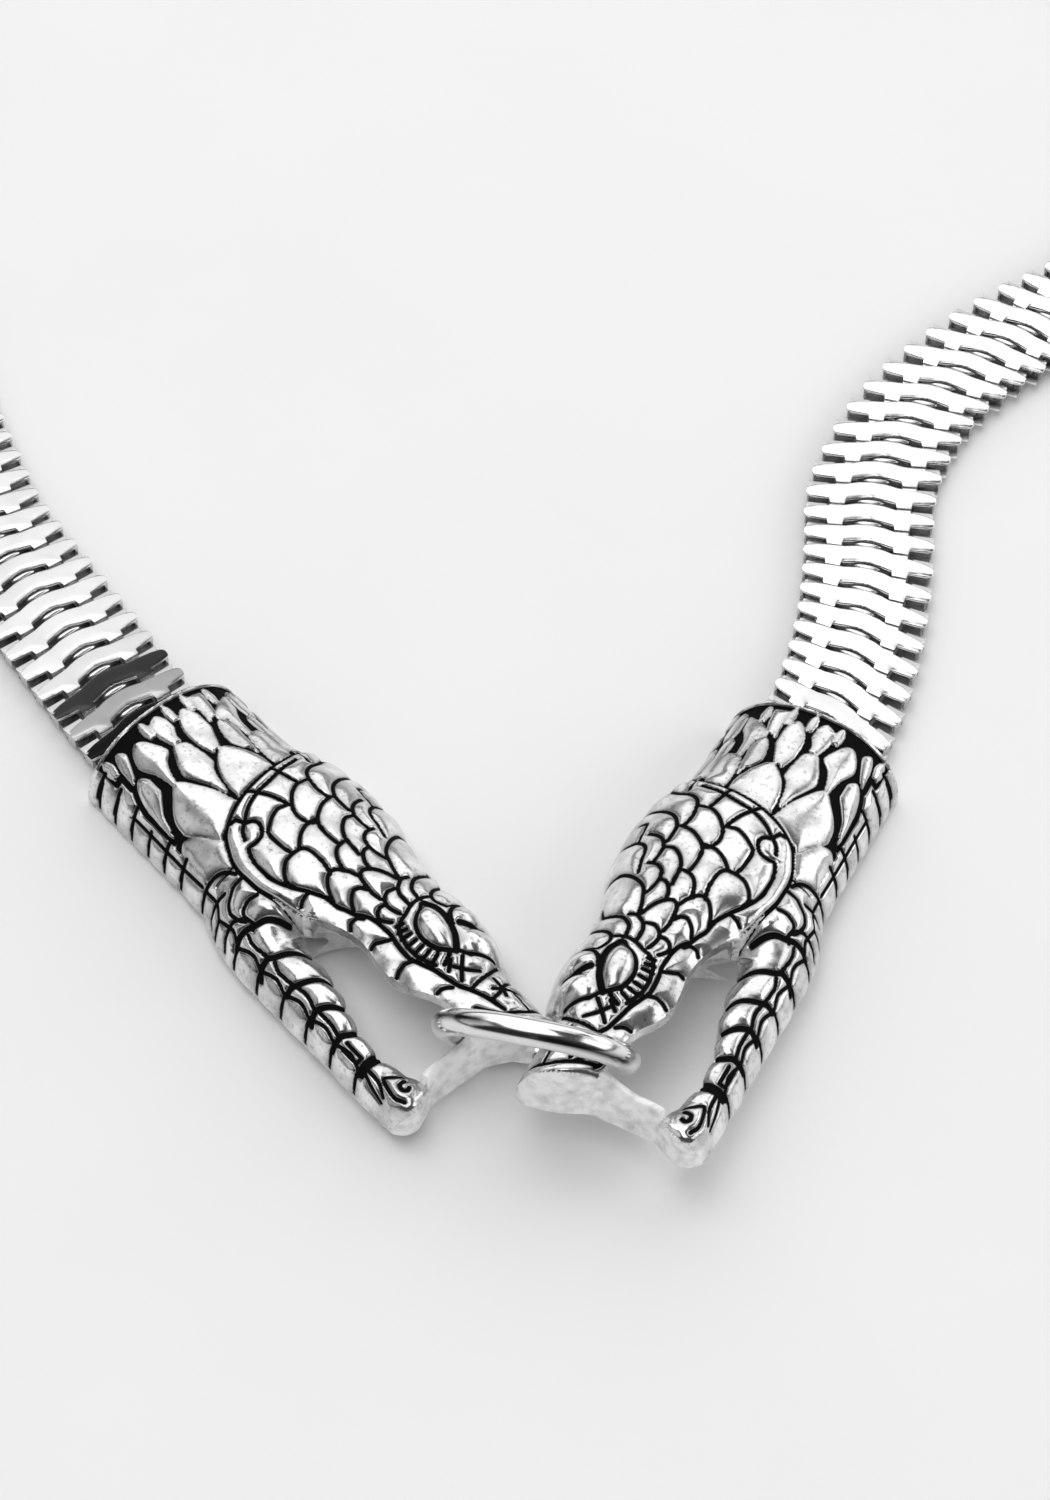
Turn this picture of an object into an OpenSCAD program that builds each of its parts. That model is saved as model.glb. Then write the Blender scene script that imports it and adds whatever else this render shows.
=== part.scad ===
// Snake choker: two cast snake heads that mirror each other, a plain ring through both
// mouths, and a flat chain of hooked links from one neck round to the other.
// It lies flat with the muzzles toward -Y, in millimetres. The heads, ring and links are drawn
// for a chain 15 mm wide, in drawn units, and scaled to the real width.

/* [Chain] */
// Width of the flat chain, which also sets the size of the heads
chain_width = 12; // [11:0.5:15]
// Sheet thickness of a link's plate, as drawn
sheet = 0.45; // [0.35:0.05:0.5]
// Width of the two tabs of a link, as drawn
tab_width = 1.6; // [1.2:0.1:2]
// Links on the left side, without the one that meets the right side
left_links = 68; // [20:1:68]
// Links on the right side
right_links = 72; // [20:1:72]

/* [Heads] */
// Wall left round the hollow of the neck cup, as drawn
cup_wall = 1.2; // [0.8:0.1:2]
// Depth of the hollow of the neck cup, as drawn
cup_depth = 6.5; // [5:0.5:9]
// How far a scale stands above the skin, as drawn
scale_rise = 0.5; // [0.2:0.05:0.8]
// How far the left muzzle is raised, in degrees
left_lift = 1.5; // [1:0.1:3]
// How far the right muzzle is raised, in degrees
right_lift = 5.5; // [4:0.1:6]

/* [Ring] */
// Radius of the ring's two round ends, as drawn
ring_radius = 8.25; // [8:0.05:9]
// Length of the straight stretch between the ends, as drawn
ring_straight = 2; // [1:0.1:3]
// Radius of the ring's wire, as drawn
ring_wire = 1.4; // [1:0.05:1.5]
// Slope of the ring from the table, in degrees
ring_slope = 64.4; // [60:0.1:70]

/* [Hidden] */

k = chain_width / 15;
eps = 0.01;
white_metal = [0.74, 0.74, 0.73];
bright_metal = [0.86, 0.86, 0.86];

// Where the rear of each head stands, its heading, and the middle of the whole loop, as drawn
left_at = [-39, -1.69];
left_turn = -48.3;
right_at = [31.1, -1.5];
right_turn = -116.3;
loop_middle = [1.14, 51.93];

// Ring: middle of its lowest point's footprint and its turn about the vertical
ring_at = [1.76, -43.36];
ring_turn = -11.1;
ring_room = 0.3;

// Skin of a head in sections from the neck to the muzzle
// [x, outer edge, inner edge, ridge, height]
skin = [
    [0, -9.7, 9.7, 0, 8.0], [8, -9.7, 9.6, 0, 8.1], [11, -9.7, 9.9, 0.3, 8.1],
    [13, -9.8, 10.9, 0.8, 8.2], [16, -9.9, 11.6, 1.6, 8.3], [20, -10.1, 12, 2.2, 8.4],
    [24, -11.5, 11.9, 2.4, 8.4], [28, -12.1, 11, 2.6, 8.4], [32, -12.2, 9.9, 2.8, 8.3],
    [36, -12.2, 9.7, 3.2, 7.9], [40, -12.2, 10, 3.6, 7.7], [44, -12.2, 9.2, 3.6, 7.4],
    [47, -12.3, 7.75, 3.2, 6.9], [50, -12.3, 7.3, 2.6, 6.6], [53, -12.1, 7.3, 2.6, 6.5],
    [58, -11.5, 7.3, 2.6, 6.2]];
// Upper lip along the mouth: [x, y of the edge, height of the edge]
lip = [
    [27, -6.2, 6.2], [30.6, -5, 6.4], [33, -3.4, 6.4], [35, -2.65, 6.4], [37.5, -2.25, 6.2],
    [40, -2.5, 6.0], [42.5, -2.7, 5.9], [44.5, -2, 5.8], [46, -1.1, 5.8], [48, -0.45, 5.8],
    [50.5, -0.1, 5.8], [58, 0, 5.8]];
// Hollow under the upper lip, which is open to the mouth: [x, reach inwards, height]
lip_hollow = [
    [31.9, 1.5, 4.2], [34, 3.5, 4.6], [38, 4.4, 4.5], [44, 4.4, 4.3], [48, 3.6, 4.2], [50.8, 2.2, 4]];
// Lower jaw: [x, inner edge, crest, height of the crest]
jaw = [
    [26, -5.4, -8.6, 5.4], [30.6, -5.3, -8.6, 5.0], [34, -6.2, -8.6, 4.9], [37, -6.6, -8.8, 5.0],
    [40, -7.3, -9.1, 4.9], [44, -8.4, -10.0, 4.5], [46.5, -8.6, -10.3, 4.3], [49, -8.4, -10.3, 4.3],
    [52, -7.8, -10.3, 4.4], [58, -6, -10.3, 4.4]];
// Half the width and the height of the neck
neck_half = 9.7;
neck_high = 8.3;
// How far the plain rim of the neck cup stands out
rim_out = 0.3;
// Pin across the neck cup
pin_x = 2;
pin_z = 0.65;
pin_radius = 0.2;
// Where the body ends and the mouth opens
mouth_start = 31.2;
// The sections reach this far below the underside, which is then cut flat
sunk = 1;
// Bar that closes the mouth at the front: [y, x of its inner side, height]
bar = [[-8.6, 51.2, 4.2], [-6.5, 51.9, 4.0], [-4.2, 51.7, 3.9], [-2, 51.7, 4.8], [0.4, 51.9, 5.9]];
// Places of the sections that each part of a head is lofted through
body_at = [0.7, 4, 8, 11, 13, 16, 20, 24, 28, mouth_start];
rim_at = [-0.2, 0.8];
upper_at = [27, 30.6, 33, 35, 37.5, 40, 42.5, 44.5, 46, 48, 50.5, 57];
jaw_at = [27, 30.6, 32.6, 34, 37, 40, 42, 44, 46.5, 49, 52, 57];
// Where the jaw and the face part from the plain body, and the length over which they do
parting = 27;
parting_run = 4;
// Height above every part of a head
head_top = 14;
// Line that the heads are cut along in plan, from the outer side round the flat front
front_line = [
    [-1, -16], [50.5, -16], [52.4, -12.1], [54, -11.6], [54.8, -10.7], [54.9, -10], [54.3, -8.5],
    [53.2, -6.5], [52.9, -4.2], [53.1, -2], [53.7, 0.5], [55, 3], [55.6, 5], [55.75, 6.2], [55.4, 7.1],
    [54, 16], [-1, 16]];

// Raised scales of the hood and face: [x, y, length, width, turn]
scales = [
    [17.2, 8.6, 4.6, 2.8, -62], [20.9, 8.8, 4.2, 2.3, -65], [25, 7.6, 3.6, 2, -15],
    [25.6, 9.9, 4.2, 1.6, -15], [20.2, 4.2, 3.6, 2.6, -40], [23.6, 4.8, 3.4, 2.4, -45],
    [27, 5.1, 3.4, 2, -30], [29.3, 6.4, 2.8, 1.6, -25], [31, 8.7, 3.8, 2, -55],
    [33.4, 6.7, 3.4, 1.8, -45], [36.2, 6.9, 2.6, 1.4, -60], [38.7, 8.1, 2.8, 2.2, -65],
    [31, 4.2, 2.4, 1.2, -15], [36, 4.6, 2.2, 1.4, -20], [29.2, 2.4, 3, 1.6, -15],
    [33.2, 2.6, 2.8, 1.3, 0], [36.5, 2.7, 2, 1, -10], [25.3, 1.2, 3.4, 2.2, -30],
    [21.8, 0.3, 3.4, 2.4, -35], [27.2, -1.6, 3.8, 2.4, -20], [31.2, 0, 2.6, 1.8, -25],
    [34.3, 0.5, 2.2, 1.6, -20], [41.6, 7.4, 2.6, 1.8, -30], [45.2, 6.3, 3, 2.2, -40],
    [49.8, 4.6, 2.2, 2.4, 0], [53, 4.3, 2.4, 2.8, 0]];
// Raised scales of the lips, in the same columns
lip_scales = [
    [32.4, -2.8, 5, 1.1, 25], [36.9, -1.1, 2.8, 1.6, 5], [40.7, -1.2, 3.4, 1.8, -5],
    [44.8, -0.5, 3.4, 1.5, 20], [49.6, 1.1, 4.4, 1.8, 10]];
// Pointed leaves of the neck, in the same columns, with their points to the rear
leaves = [
    [11.4, 1.7, 5.2, 4.2, 5], [12.4, -4.5, 6.8, 4.2, 10], [16.8, -7.3, 5, 2.4, 15],
    [10.8, 6.3, 5, 1.8, 0], [5.3, 1.3, 6.4, 2.2, 0], [9.6, -1.8, 7.4, 2.2, 5], [3.1, -1.7, 4, 1.7, -5],
    [5.4, -4.7, 6.6, 2.2, -5], [8.8, -7.2, 6.6, 1.3, -10], [3, -7, 3.4, 1, -5], [8.3, 4, 5, 1.3, 0],
    [3.1, 3.9, 4, 1.5, 0], [5.4, 5.9, 6, 1.8, -10], [6.4, 7.8, 4, 0.9, 0]];
// Belly bands of the lower jaw and the curl at its tip, in the same columns
jaw_bands = [
    [24.4, -8.8, 2.2, 3.6, 10], [27.1, -8.4, 2, 3.6, 12], [30.6, -8.6, 3.2, 4.2, 12],
    [34.6, -8.9, 3.4, 4.2, 12], [38.6, -9.3, 3, 3.8, 8], [42, -10, 2.6, 3.2, 0],
    [45.8, -10.3, 3, 2.8, 0], [51.6, -9.7, 3, 2.4, 0]];
// Raised edge of the hood, from the inner side of the neck to the lip: [x, y]
hood_edge = [
    [12.9, 10.2], [13.6, 8.4], [14.4, 6.5], [14.9, 4.4], [15.4, 2.5], [15.9, 0.6], [16.4, -1.2],
    [17.2, -2.7], [18.5, -4.2], [20.2, -5.1], [22.4, -5.5], [24.6, -5.6], [26.6, -5.3], [28.4, -4.6],
    [30, -3.6]];
hood_radius = 0.62;
hood_sunk = 0.35;
// Eye and the ring of lid round it: [x, y, length, width, turn]
eye = [41.7, 3.7, 5.4, 2.3, -12];
lid = [41.5, 3.7, 7, 3.8, -12];

// Link, with x toward the head: plate from its rear edge to its front edge, half of it: [y, rear, front]
plate = [
    [0, -0.2, 1.95], [3, 0.15, 2.5], [6, 0, 2.4], [7.1, 0.45, 2.15], [7.45, 0.9, 1.8]];
plate_top = 2.35;
tab_y = 3.8;
// Side of a tab, which dips under the next plate and turns back round its bar: [x, z]
tab = [
    [2.2, 2.35], [2.46, 2.35], [2.76, 1.7], [4.75, 1.7], [4.75, 0], [3.2, 0], [3.2, 0.35], [4.4, 0.35],
    [4.4, 1.35], [2.5, 1.35], [2.3, 1.9]];
bar_rear = 0.25;
bar_deep = 0.3;
bar_low = 0.6;
bar_high = 1.1;
side_from = 6.9;
side_to = 7.25;
side_front = 2;
link_middle = 1.2;

// Route of each side from the cup backwards: [link, heading of the route, heading of the link, step]
right_start = [31.2, -1.05];
right_route = [
    [0, 67, 60, 3], [1, 68.5, 56.5, 3.05], [2, 70, 53, 3.2], [6, 81, 66, 3.25], [10, 88, 81, 3.25],
    [11, 83.5, 84, 3.3], [13, 69.5, 86, 3.4], [15, 61.5, 84, 3.5], [17, 49.5, 77, 3.6],
    [20, 39.5, 67, 3.6], [23, 32, 56, 3.5], [28, 48, 54, 3.3], [38.75, 100, 100, 3.3],
    [56, 176.3, 176.3, 3.3], [72, 176.3, 176.3, 3.3]];
left_start = [-39.4, -1.45];
left_route = [
    [0, 130, 131.7, 3.3], [3, 126, 129.5, 3.3], [10, 126, 126, 3.3], [12, 115, 119, 3.3],
    [17, 113, 113, 3.3], [20, 104, 104, 3.3], [32, 104, 104, 3.3], [58, -3.7, -3.7, 3.3],
    [69, -3.7, -3.7, 3.3]];

function look(table, x, column) = lookup(x, [for (row = table) [row[0], row[column]]]);
function dome(t) = sqrt(max(0, 1 - pow(abs(t), 2.2)));
function smooth(t) = let (u = min(1, max(0, t))) u * u * (3 - 2 * u);

// Height of the body, the upper head and the jaw above the flat underside
function body_z(x, y) =
    let (o = look(skin, x, 1), i = look(skin, x, 2), r = look(skin, x, 3), h = look(skin, x, 4))
    h * dome(y > r ? (y - r) / (i - r) : (r - y) / (r - o));
function face_z(x, y) =
    let (r = look(skin, x, 3), h = look(skin, x, 4), t = (r - y) / (r - look(lip, x, 1)))
    y > r ? body_z(x, y) : h - (h - look(lip, x, 2)) * pow(min(t, 1.1), 2);
function jaw_z(x, y) =
    let (i = look(jaw, x, 1) + 0.9, c = look(jaw, x, 2), h = look(jaw, x, 3), o = look(skin, x, 1))
    h * dome(y > c ? (y - c) / (i - c) : (c - y) / (c - o));
function skin_z(x, y) =
    let (w = smooth((x - parting) / parting_run))
    y < look(jaw, x, 1) + 0.6 ? (1 - w) * body_z(x, y) + w * jaw_z(x, y)
    : (1 - w) * body_z(x, y) + w * face_z(x, y);

// Closed solid through rings that have the same number of points
module loft(rings) {
    n = len(rings[0]);
    m = len(rings);
    sides = [for (j = [0:m - 2], i = [0:n - 1])
        [j * n + i, j * n + (i + 1) % n, (j + 1) * n + (i + 1) % n, (j + 1) * n + i]];
    caps = [[for (i = [n - 1:-1:0]) i], [for (i = [0:n - 1]) (m - 1) * n + i]];
    polyhedron([for (ring = rings) each ring], concat(sides, caps), convexity = 6);
}

// Section of the body across x, from the outer edge over the top to the inner edge
function body_ring(x, thin = 0) =
    let (o = look(skin, x, 1) + thin, i = look(skin, x, 2) - thin,
         r = look(skin, x, 3), h = look(skin, x, 4) - thin)
    concat([[x, o, -sunk]],
        [for (j = [-8:8])
            let (t = sin(90 * j / 8))
            [x, t < 0 ? r + t * (r - o) : r + t * (i - r), h * dome(t)]],
        [[x, i, -sunk]]);

module body() {
    loft([for (x = body_at) body_ring(x)]);
    // plain raised rim of the neck cup
    loft([for (x = rim_at) body_ring(x, thin = -rim_out)]);
}

module upper_head() {
    loft([for (x = upper_at)
        let (e = look(lip, x, 1), r = look(skin, x, 3), i = look(skin, x, 2))
        concat([[x, e, -sunk]],
            [for (j = [0:4]) let (y = e + (r - e) * j / 4) [x, y, face_z(x, y)]],
            [for (j = [1:7]) let (y = r + (i - r) * sin(90 * j / 7)) [x, y, body_z(x, y)]],
            [[x, i, -sunk]])]);
}

module under_lip() {
    loft([for (row = lip_hollow)
        let (x = row[0], e = look(lip, x, 1), high = row[2])
        [[x, e - 1, -2 * sunk], [x, e - 1, high], [x, e + 0.6 * row[1], high], [x, e + row[1], high / 2],
            [x, e + row[1], -2 * sunk]]]);
}

module lower_jaw() {
    loft([for (x = jaw_at)
        let (o = look(skin, x, 1), c = look(jaw, x, 2), i = look(jaw, x, 1))
        concat([[x, o, -sunk]],
            [for (j = [0:5]) let (y = o + (c - o) * (1 - cos(90 * j / 5))) [x, y, jaw_z(x, y)]],
            [for (j = [1:4]) let (y = c + (i - c) * j / 4) [x, y, jaw_z(x, y)]],
            [[x, i, -sunk]])]);
}

module front_bar() {
    for (j = [0:len(bar) - 2])
        hull()
            for (row = [bar[j], bar[j + 1]])
                translate([row[1], row[0], -sunk]) cube([6, 0.2, row[2] + sunk]);
}

// Raised pad on the skin: its outline is an oval, or a leaf with its point to the rear
module pad(row, rise, pointed = false) {
    ring_points = 7;
    corners = [for (j = [0:ring_points - 1])
        let (a = 360 * j / ring_points)
        [row[2] / 2 * cos(a), row[3] / 2 * sin(a) * (pointed ? 0.75 * (1 + cos(a)) : 1)]];
    function spot(p, part, up) =
        let (x = row[0] + part * (p.x * cos(row[4]) - p.y * sin(row[4])),
             y = row[1] + part * (p.x * sin(row[4]) + p.y * cos(row[4])))
        [x, y, skin_z(x, y) + up];
    levels = [[1, -0.5], [0.8, rise]];
    points = concat([for (level = levels, p = corners) spot(p, level[0], level[1])],
        [spot([0, 0], 0, rise + 0.1)]);
    hull() polyhedron(points, [[for (j = [0:len(points) - 1]) j]]);
}

module hood_rim() {
    for (j = [0:len(hood_edge) - 2])
        hull()
            for (p = [hood_edge[j], hood_edge[j + 1]])
                translate([p.x, p.y, skin_z(p.x, p.y) - hood_sunk]) scale([1, 1, 1.2])
                    sphere(hood_radius, $fn = 6);
}

module relief() {
    for (row = scales) pad(row, scale_rise);
    for (row = lip_scales) pad(row, scale_rise * 0.7);
    for (row = leaves) pad(row, scale_rise * 0.8, pointed = true);
    for (row = jaw_bands) pad(row, scale_rise * 0.8);
    pad(lid, scale_rise * 0.8);
    pad(eye, scale_rise * 1.5);
    hood_rim();
}

// Hollow of the neck cup, open to the rear and below, where the chain enters
module cup_hollow() {
    loft([for (x = [-1, cup_depth])
        [for (j = [-8:8])
            let (t = sin(90 * j / 8))
            [x, (neck_half - cup_wall) * t, (neck_high - cup_wall) * dome(t) - eps]]]);
    translate([-1, cup_wall - neck_half, -1]) cube([cup_depth + 1, 2 * (neck_half - cup_wall), 1.2]);
}

// Pin across the cup, which the last link hooks round
module cup_pin() {
    reach = neck_half - 0.5;
    translate([pin_x, reach, pin_z]) rotate([90, 0, 0]) cylinder(r = pin_radius, h = 2 * reach, $fn = 12);
}

module head() {
    difference() {
        intersection() {
            union() {
                body();
                upper_head();
                lower_jaw();
                front_bar();
                relief();
            }
            linear_extrude(head_top) polygon(front_line);
        }
        cup_hollow();
        under_lip();
    }
    cup_pin();
}

// A head stands on the rear edge of its underside, with its muzzle raised; side is 1 left, -1 right
module stand(side, at, turn, lift) {
    translate([at.x, at.y, 0.2 * sin(lift)]) rotate([0, 0, turn]) mirror([0, side < 0 ? 1 : 0, 0])
        rotate([0, -lift, 0]) children();
}

// Closed oval wire: two half circles joined by straight stretches
module oval_wire(wire) {
    translate([ring_at.x, ring_at.y, ring_wire + ring_radius * sin(ring_slope)])
        rotate([180 - ring_slope, 0, ring_turn])
            for (side = [0, 180])
                rotate([0, 0, side]) {
                    translate([ring_straight / 2, 0, 0]) rotate([0, 0, -90])
                        rotate_extrude(angle = 180, $fn = 64)
                            translate([ring_radius, 0]) circle(wire, $fn = 24);
                    translate([-ring_straight / 2, ring_radius, 0]) rotate([0, 90, 0])
                        cylinder(r = wire, h = ring_straight, $fn = 24);
                }
}

module link_plate() {
    translate([0, 0, plate_top - sheet]) linear_extrude(sheet)
        polygon(concat(
            [for (row = plate) [row[2], row[0]]],
            [for (j = [len(plate) - 1:-1:0]) [plate[j][1], plate[j][0]]],
            [for (j = [1:len(plate) - 1]) [plate[j][1], -plate[j][0]]],
            [for (j = [len(plate) - 1:-1:1]) [plate[j][2], -plate[j][0]]]));
}

module link_tabs() {
    for (side = [-1, 1])
        translate([0, side * tab_y + tab_width / 2, 0]) rotate([90, 0, 0])
            linear_extrude(tab_width) polygon(tab);
}

module link_bar() {
    top = plate_top - sheet + eps;
    translate([bar_rear, -side_to, bar_low]) cube([bar_deep, 2 * side_to, bar_high - bar_low]);
    for (y = [-side_to, side_from])
        translate([bar_rear, y, bar_low]) cube([side_front - bar_rear, side_to - side_from, top - bar_low]);
}

// Link with its origin in the middle of its plate, x toward the head
module link() {
    translate([-link_middle, 0, 0]) {
        link_plate();
        link_tabs();
        link_bar();
    }
}

// The link that meets the other side has tabs at both edges and no bar
module meeting_link() {
    translate([-link_middle, 0, 0]) {
        link_plate();
        link_tabs();
    }
    translate([link_middle, 0, 0]) mirror([1, 0, 0]) link_tabs();
}

// Places along a route: [x, y, heading of the link]
function walk(route, count, start) =
    [for (i = 0, p = start; i < count;
        p = p + look(route, i, 3) * [cos(look(route, i, 1)), sin(look(route, i, 1))], i = i + 1)
        [p.x, p.y, look(route, i, 2)]];

module at_place(place) {
    translate([place.x, place.y, 0]) rotate([0, 0, place[2] + 180]) children();
}

module home() {
    translate([-k * loop_middle.x, -k * loop_middle.y, 0]) scale(k) children();
}

module head_left() {
    color(white_metal) home() difference() {
        stand(1, left_at, left_turn, left_lift) head();
        oval_wire(ring_wire + ring_room);
    }
}

module head_right() {
    color(white_metal) home() difference() {
        stand(-1, right_at, right_turn, right_lift) head();
        oval_wire(ring_wire + ring_room);
    }
}

module ring() {
    color(bright_metal) home() oval_wire(ring_wire);
}

module chain_left() {
    places = walk(left_route, left_links + 1, left_start);
    color(bright_metal) home() {
        for (i = [0:left_links - 1]) at_place(places[i]) link();
        at_place(places[left_links]) meeting_link();
    }
}

module chain_right() {
    color(bright_metal) home()
        for (place = walk(right_route, right_links, right_start)) at_place(place) link();
}

head_left();
head_right();
ring();
chain_left();
chain_right();
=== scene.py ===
"""Looks of the snake choker: two cast heads, a ring, a flat chain, a pale table and studio light."""

import logging
import math
from dataclasses import dataclass
from enum import Enum
from typing import ClassVar, Sequence

import bpy
import numpy as np
from mathutils import Matrix, Vector, kdtree


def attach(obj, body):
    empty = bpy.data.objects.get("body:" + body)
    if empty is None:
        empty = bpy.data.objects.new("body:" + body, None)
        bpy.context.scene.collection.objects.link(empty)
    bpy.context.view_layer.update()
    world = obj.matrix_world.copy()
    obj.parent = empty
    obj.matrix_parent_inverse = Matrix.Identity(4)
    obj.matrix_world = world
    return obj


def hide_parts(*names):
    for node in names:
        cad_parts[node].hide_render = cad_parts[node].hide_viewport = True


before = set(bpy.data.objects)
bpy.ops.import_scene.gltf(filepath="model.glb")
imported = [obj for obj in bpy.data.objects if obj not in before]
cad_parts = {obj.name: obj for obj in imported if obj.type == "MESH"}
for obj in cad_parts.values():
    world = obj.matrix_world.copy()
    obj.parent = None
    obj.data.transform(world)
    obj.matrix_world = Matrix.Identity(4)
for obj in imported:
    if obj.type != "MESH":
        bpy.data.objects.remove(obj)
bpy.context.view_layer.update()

LOG = logging.getLogger("choker")
Points = np.ndarray

# Everything is drawn for a chain 15 mm wide and scaled to the real width
CHAIN_WIDTH = 12.0
DRAWN_WIDTH = 15.0
UNIT = CHAIN_WIDTH / DRAWN_WIDTH / 1000
LOOP_MIDDLE = (1.14, 51.93)
BODY = "root"
# Corners nearer than this are merged, in metres
WELD = 2e-6
# Lengths shorter than this count as none
TINY = 1e-9


def to_table(points: Points) -> Points:
    """Move drawn points to the object's own place and size, in metres.

    Args:
        points: Drawn coordinates, with the three columns last.

    Returns:
        The same points in metres.
    """
    return (points - np.array([*LOOP_MIDDLE, 0.0])) * UNIT


@dataclass(frozen=True)
class Step:
    """Smooth step from 0 to 1: where it starts and how long it is."""

    start: float
    length: float

    def __call__(self, at: Points) -> Points:
        """Read the step."""
        share = np.clip((at - self.start) / self.length, 0.0, 1.0)
        return share * share * (3 - 2 * share)


class Curve:
    """Smooth line through the rows of a table, which never swings past them."""

    def __init__(self, places: Sequence[float], values: Sequence[float]) -> None:
        """Work out the slope at each row.

        Args:
            places: Where the rows are, rising.
            values: What the line is there.
        """
        self.places = np.asarray(places, float)
        self.values = np.asarray(values, float)
        self.steps = np.diff(self.places)
        rises = np.diff(self.values) / self.steps
        before, after = rises[:-1], rises[1:]
        total = np.where(np.abs(before + after) < TINY, 1.0, before + after)
        self.slopes = np.empty_like(self.values)
        self.slopes[1:-1] = np.where(before * after > 0, 2 * before * after / total, 0.0)
        self.slopes[0], self.slopes[-1] = rises[0], rises[-1]

    def __call__(self, at: Points) -> Points:
        """Read the line.

        Args:
            at: Where to read it.

        Returns:
            Its value there, held level past both ends.
        """
        at = np.clip(np.asarray(at, float), self.places[0], self.places[-1])
        row = np.clip(np.searchsorted(self.places, at) - 1, 0, len(self.steps) - 1)
        step = self.steps[row]
        t = (at - self.places[row]) / step
        low, high = self.values[row], self.values[row + 1]
        return (
            low * (1 + 2 * t) * (1 - t) ** 2
            + high * t * t * (3 - 2 * t)
            + step * self.slopes[row] * t * (1 - t) ** 2
            - step * self.slopes[row + 1] * t * t * (1 - t)
        )


def table_curve(rows: Sequence[Sequence[float]], column: int = 1, key: int = 0) -> Curve:
    """Make the curve of one column of a table over another."""
    return Curve([row[key] for row in rows], [row[column] for row in rows])


class Bench:
    """Blender's own mesh operators, with the selection cleared before each."""

    @staticmethod
    def clear() -> None:
        """Deselect every object."""
        bpy.ops.object.select_all(action="DESELECT")

    @staticmethod
    def pick(*pieces: bpy.types.Object) -> None:
        """Select these pieces alone, with the first one active.

        Args:
            pieces: What to select.
        """
        Bench.clear()
        for piece in pieces:
            piece.select_set(True)
        bpy.context.view_layer.objects.active = pieces[0]

    @staticmethod
    def sheet(name: str, places: Points) -> bpy.types.Object:
        """Make a grid and move its corners to a table of places.

        Args:
            name: Name of the new piece.
            places: Rows by columns by three, in metres.

        Returns:
            The new piece.
        """
        rows, columns = places.shape[:2]
        Bench.clear()
        bpy.ops.mesh.primitive_grid_add(x_subdivisions=columns - 1, y_subdivisions=rows - 1, size=1)
        piece = bpy.context.active_object
        piece.name = name
        piece.data.vertices.foreach_set("co", places.reshape(-1).astype(np.float32))
        return piece

    @staticmethod
    def keep_number(piece: bpy.types.Object, name: str, values: Points) -> None:
        """Store one number for each corner of a piece, for its material to read."""
        store = piece.data.attributes.new(name, "FLOAT", "POINT")
        store.data.foreach_set("value", values.reshape(-1).astype(np.float32))

    @staticmethod
    def join(pieces: Sequence[bpy.types.Object], name: str) -> bpy.types.Object:
        """Join pieces into one.

        Args:
            pieces: What to join.
            name: Name of the result.

        Returns:
            The joined piece.
        """
        Bench.pick(*pieces)
        bpy.ops.object.join()
        piece = bpy.context.active_object
        piece.name = name
        piece.data.name = name
        return piece

    @staticmethod
    def heal(distance: float, holes: int = 0) -> None:
        """Merge the active piece's corners that meet, close its holes and turn its faces outwards.

        Args:
            distance: Corners nearer than this are merged.
            holes: Sides of the largest hole that is closed, or 0 where none is.
        """
        bpy.ops.object.mode_set(mode="EDIT")
        bpy.ops.mesh.select_all(action="SELECT")
        bpy.ops.mesh.remove_doubles(threshold=distance)
        if holes:
            bpy.ops.mesh.fill_holes(sides=holes)
        bpy.ops.mesh.normals_make_consistent(inside=False)
        bpy.ops.object.mode_set(mode="OBJECT")

    @staticmethod
    def smooth(piece: bpy.types.Object, angle: float) -> None:
        """Shade a piece smooth, apart from edges sharper than an angle in degrees."""
        Bench.pick(piece)
        bpy.ops.object.shade_smooth_by_angle(angle=math.radians(angle))

    @staticmethod
    def settle(piece: bpy.types.Object) -> None:
        """Put a piece's place into its mesh."""
        Bench.pick(piece)
        bpy.ops.object.transform_apply(location=True, rotation=True, scale=True)


class Socket:
    """Socket of a shader node, on which sums can be written as Python expressions."""

    def __init__(self, paint: "Paint", link: bpy.types.NodeSocket) -> None:
        """Wrap a node's output."""
        self.paint = paint
        self.link = link

    def _sum(self, kind: str, first: object, second: object) -> "Socket":
        """Add one Math node and return its output."""
        return self.paint.node("ShaderNodeMath", {"operation": kind}, {0: first, 1: second})

    def __add__(self, other: object) -> "Socket":
        """Add."""
        return self._sum("ADD", self, other)

    def __radd__(self, other: object) -> "Socket":
        """Add, with the number first."""
        return self._sum("ADD", other, self)

    def __sub__(self, other: object) -> "Socket":
        """Subtract."""
        return self._sum("SUBTRACT", self, other)

    def __rsub__(self, other: object) -> "Socket":
        """Subtract from a number."""
        return self._sum("SUBTRACT", other, self)

    def __mul__(self, other: object) -> "Socket":
        """Multiply."""
        return self._sum("MULTIPLY", self, other)

    def __rmul__(self, other: object) -> "Socket":
        """Multiply, with the number first."""
        return self._sum("MULTIPLY", other, self)


def grey(level: float) -> tuple[float, float, float, float]:
    """Give a grey as an opaque colour."""
    return (level, level, level, 1.0)


@dataclass(frozen=True)
class Grain:
    """Noise of a finish: waves per metre, detail, and the values between which its spots fade in."""

    scale: float
    detail: float
    span: tuple[float, float] = (0.0, 1.0)


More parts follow.
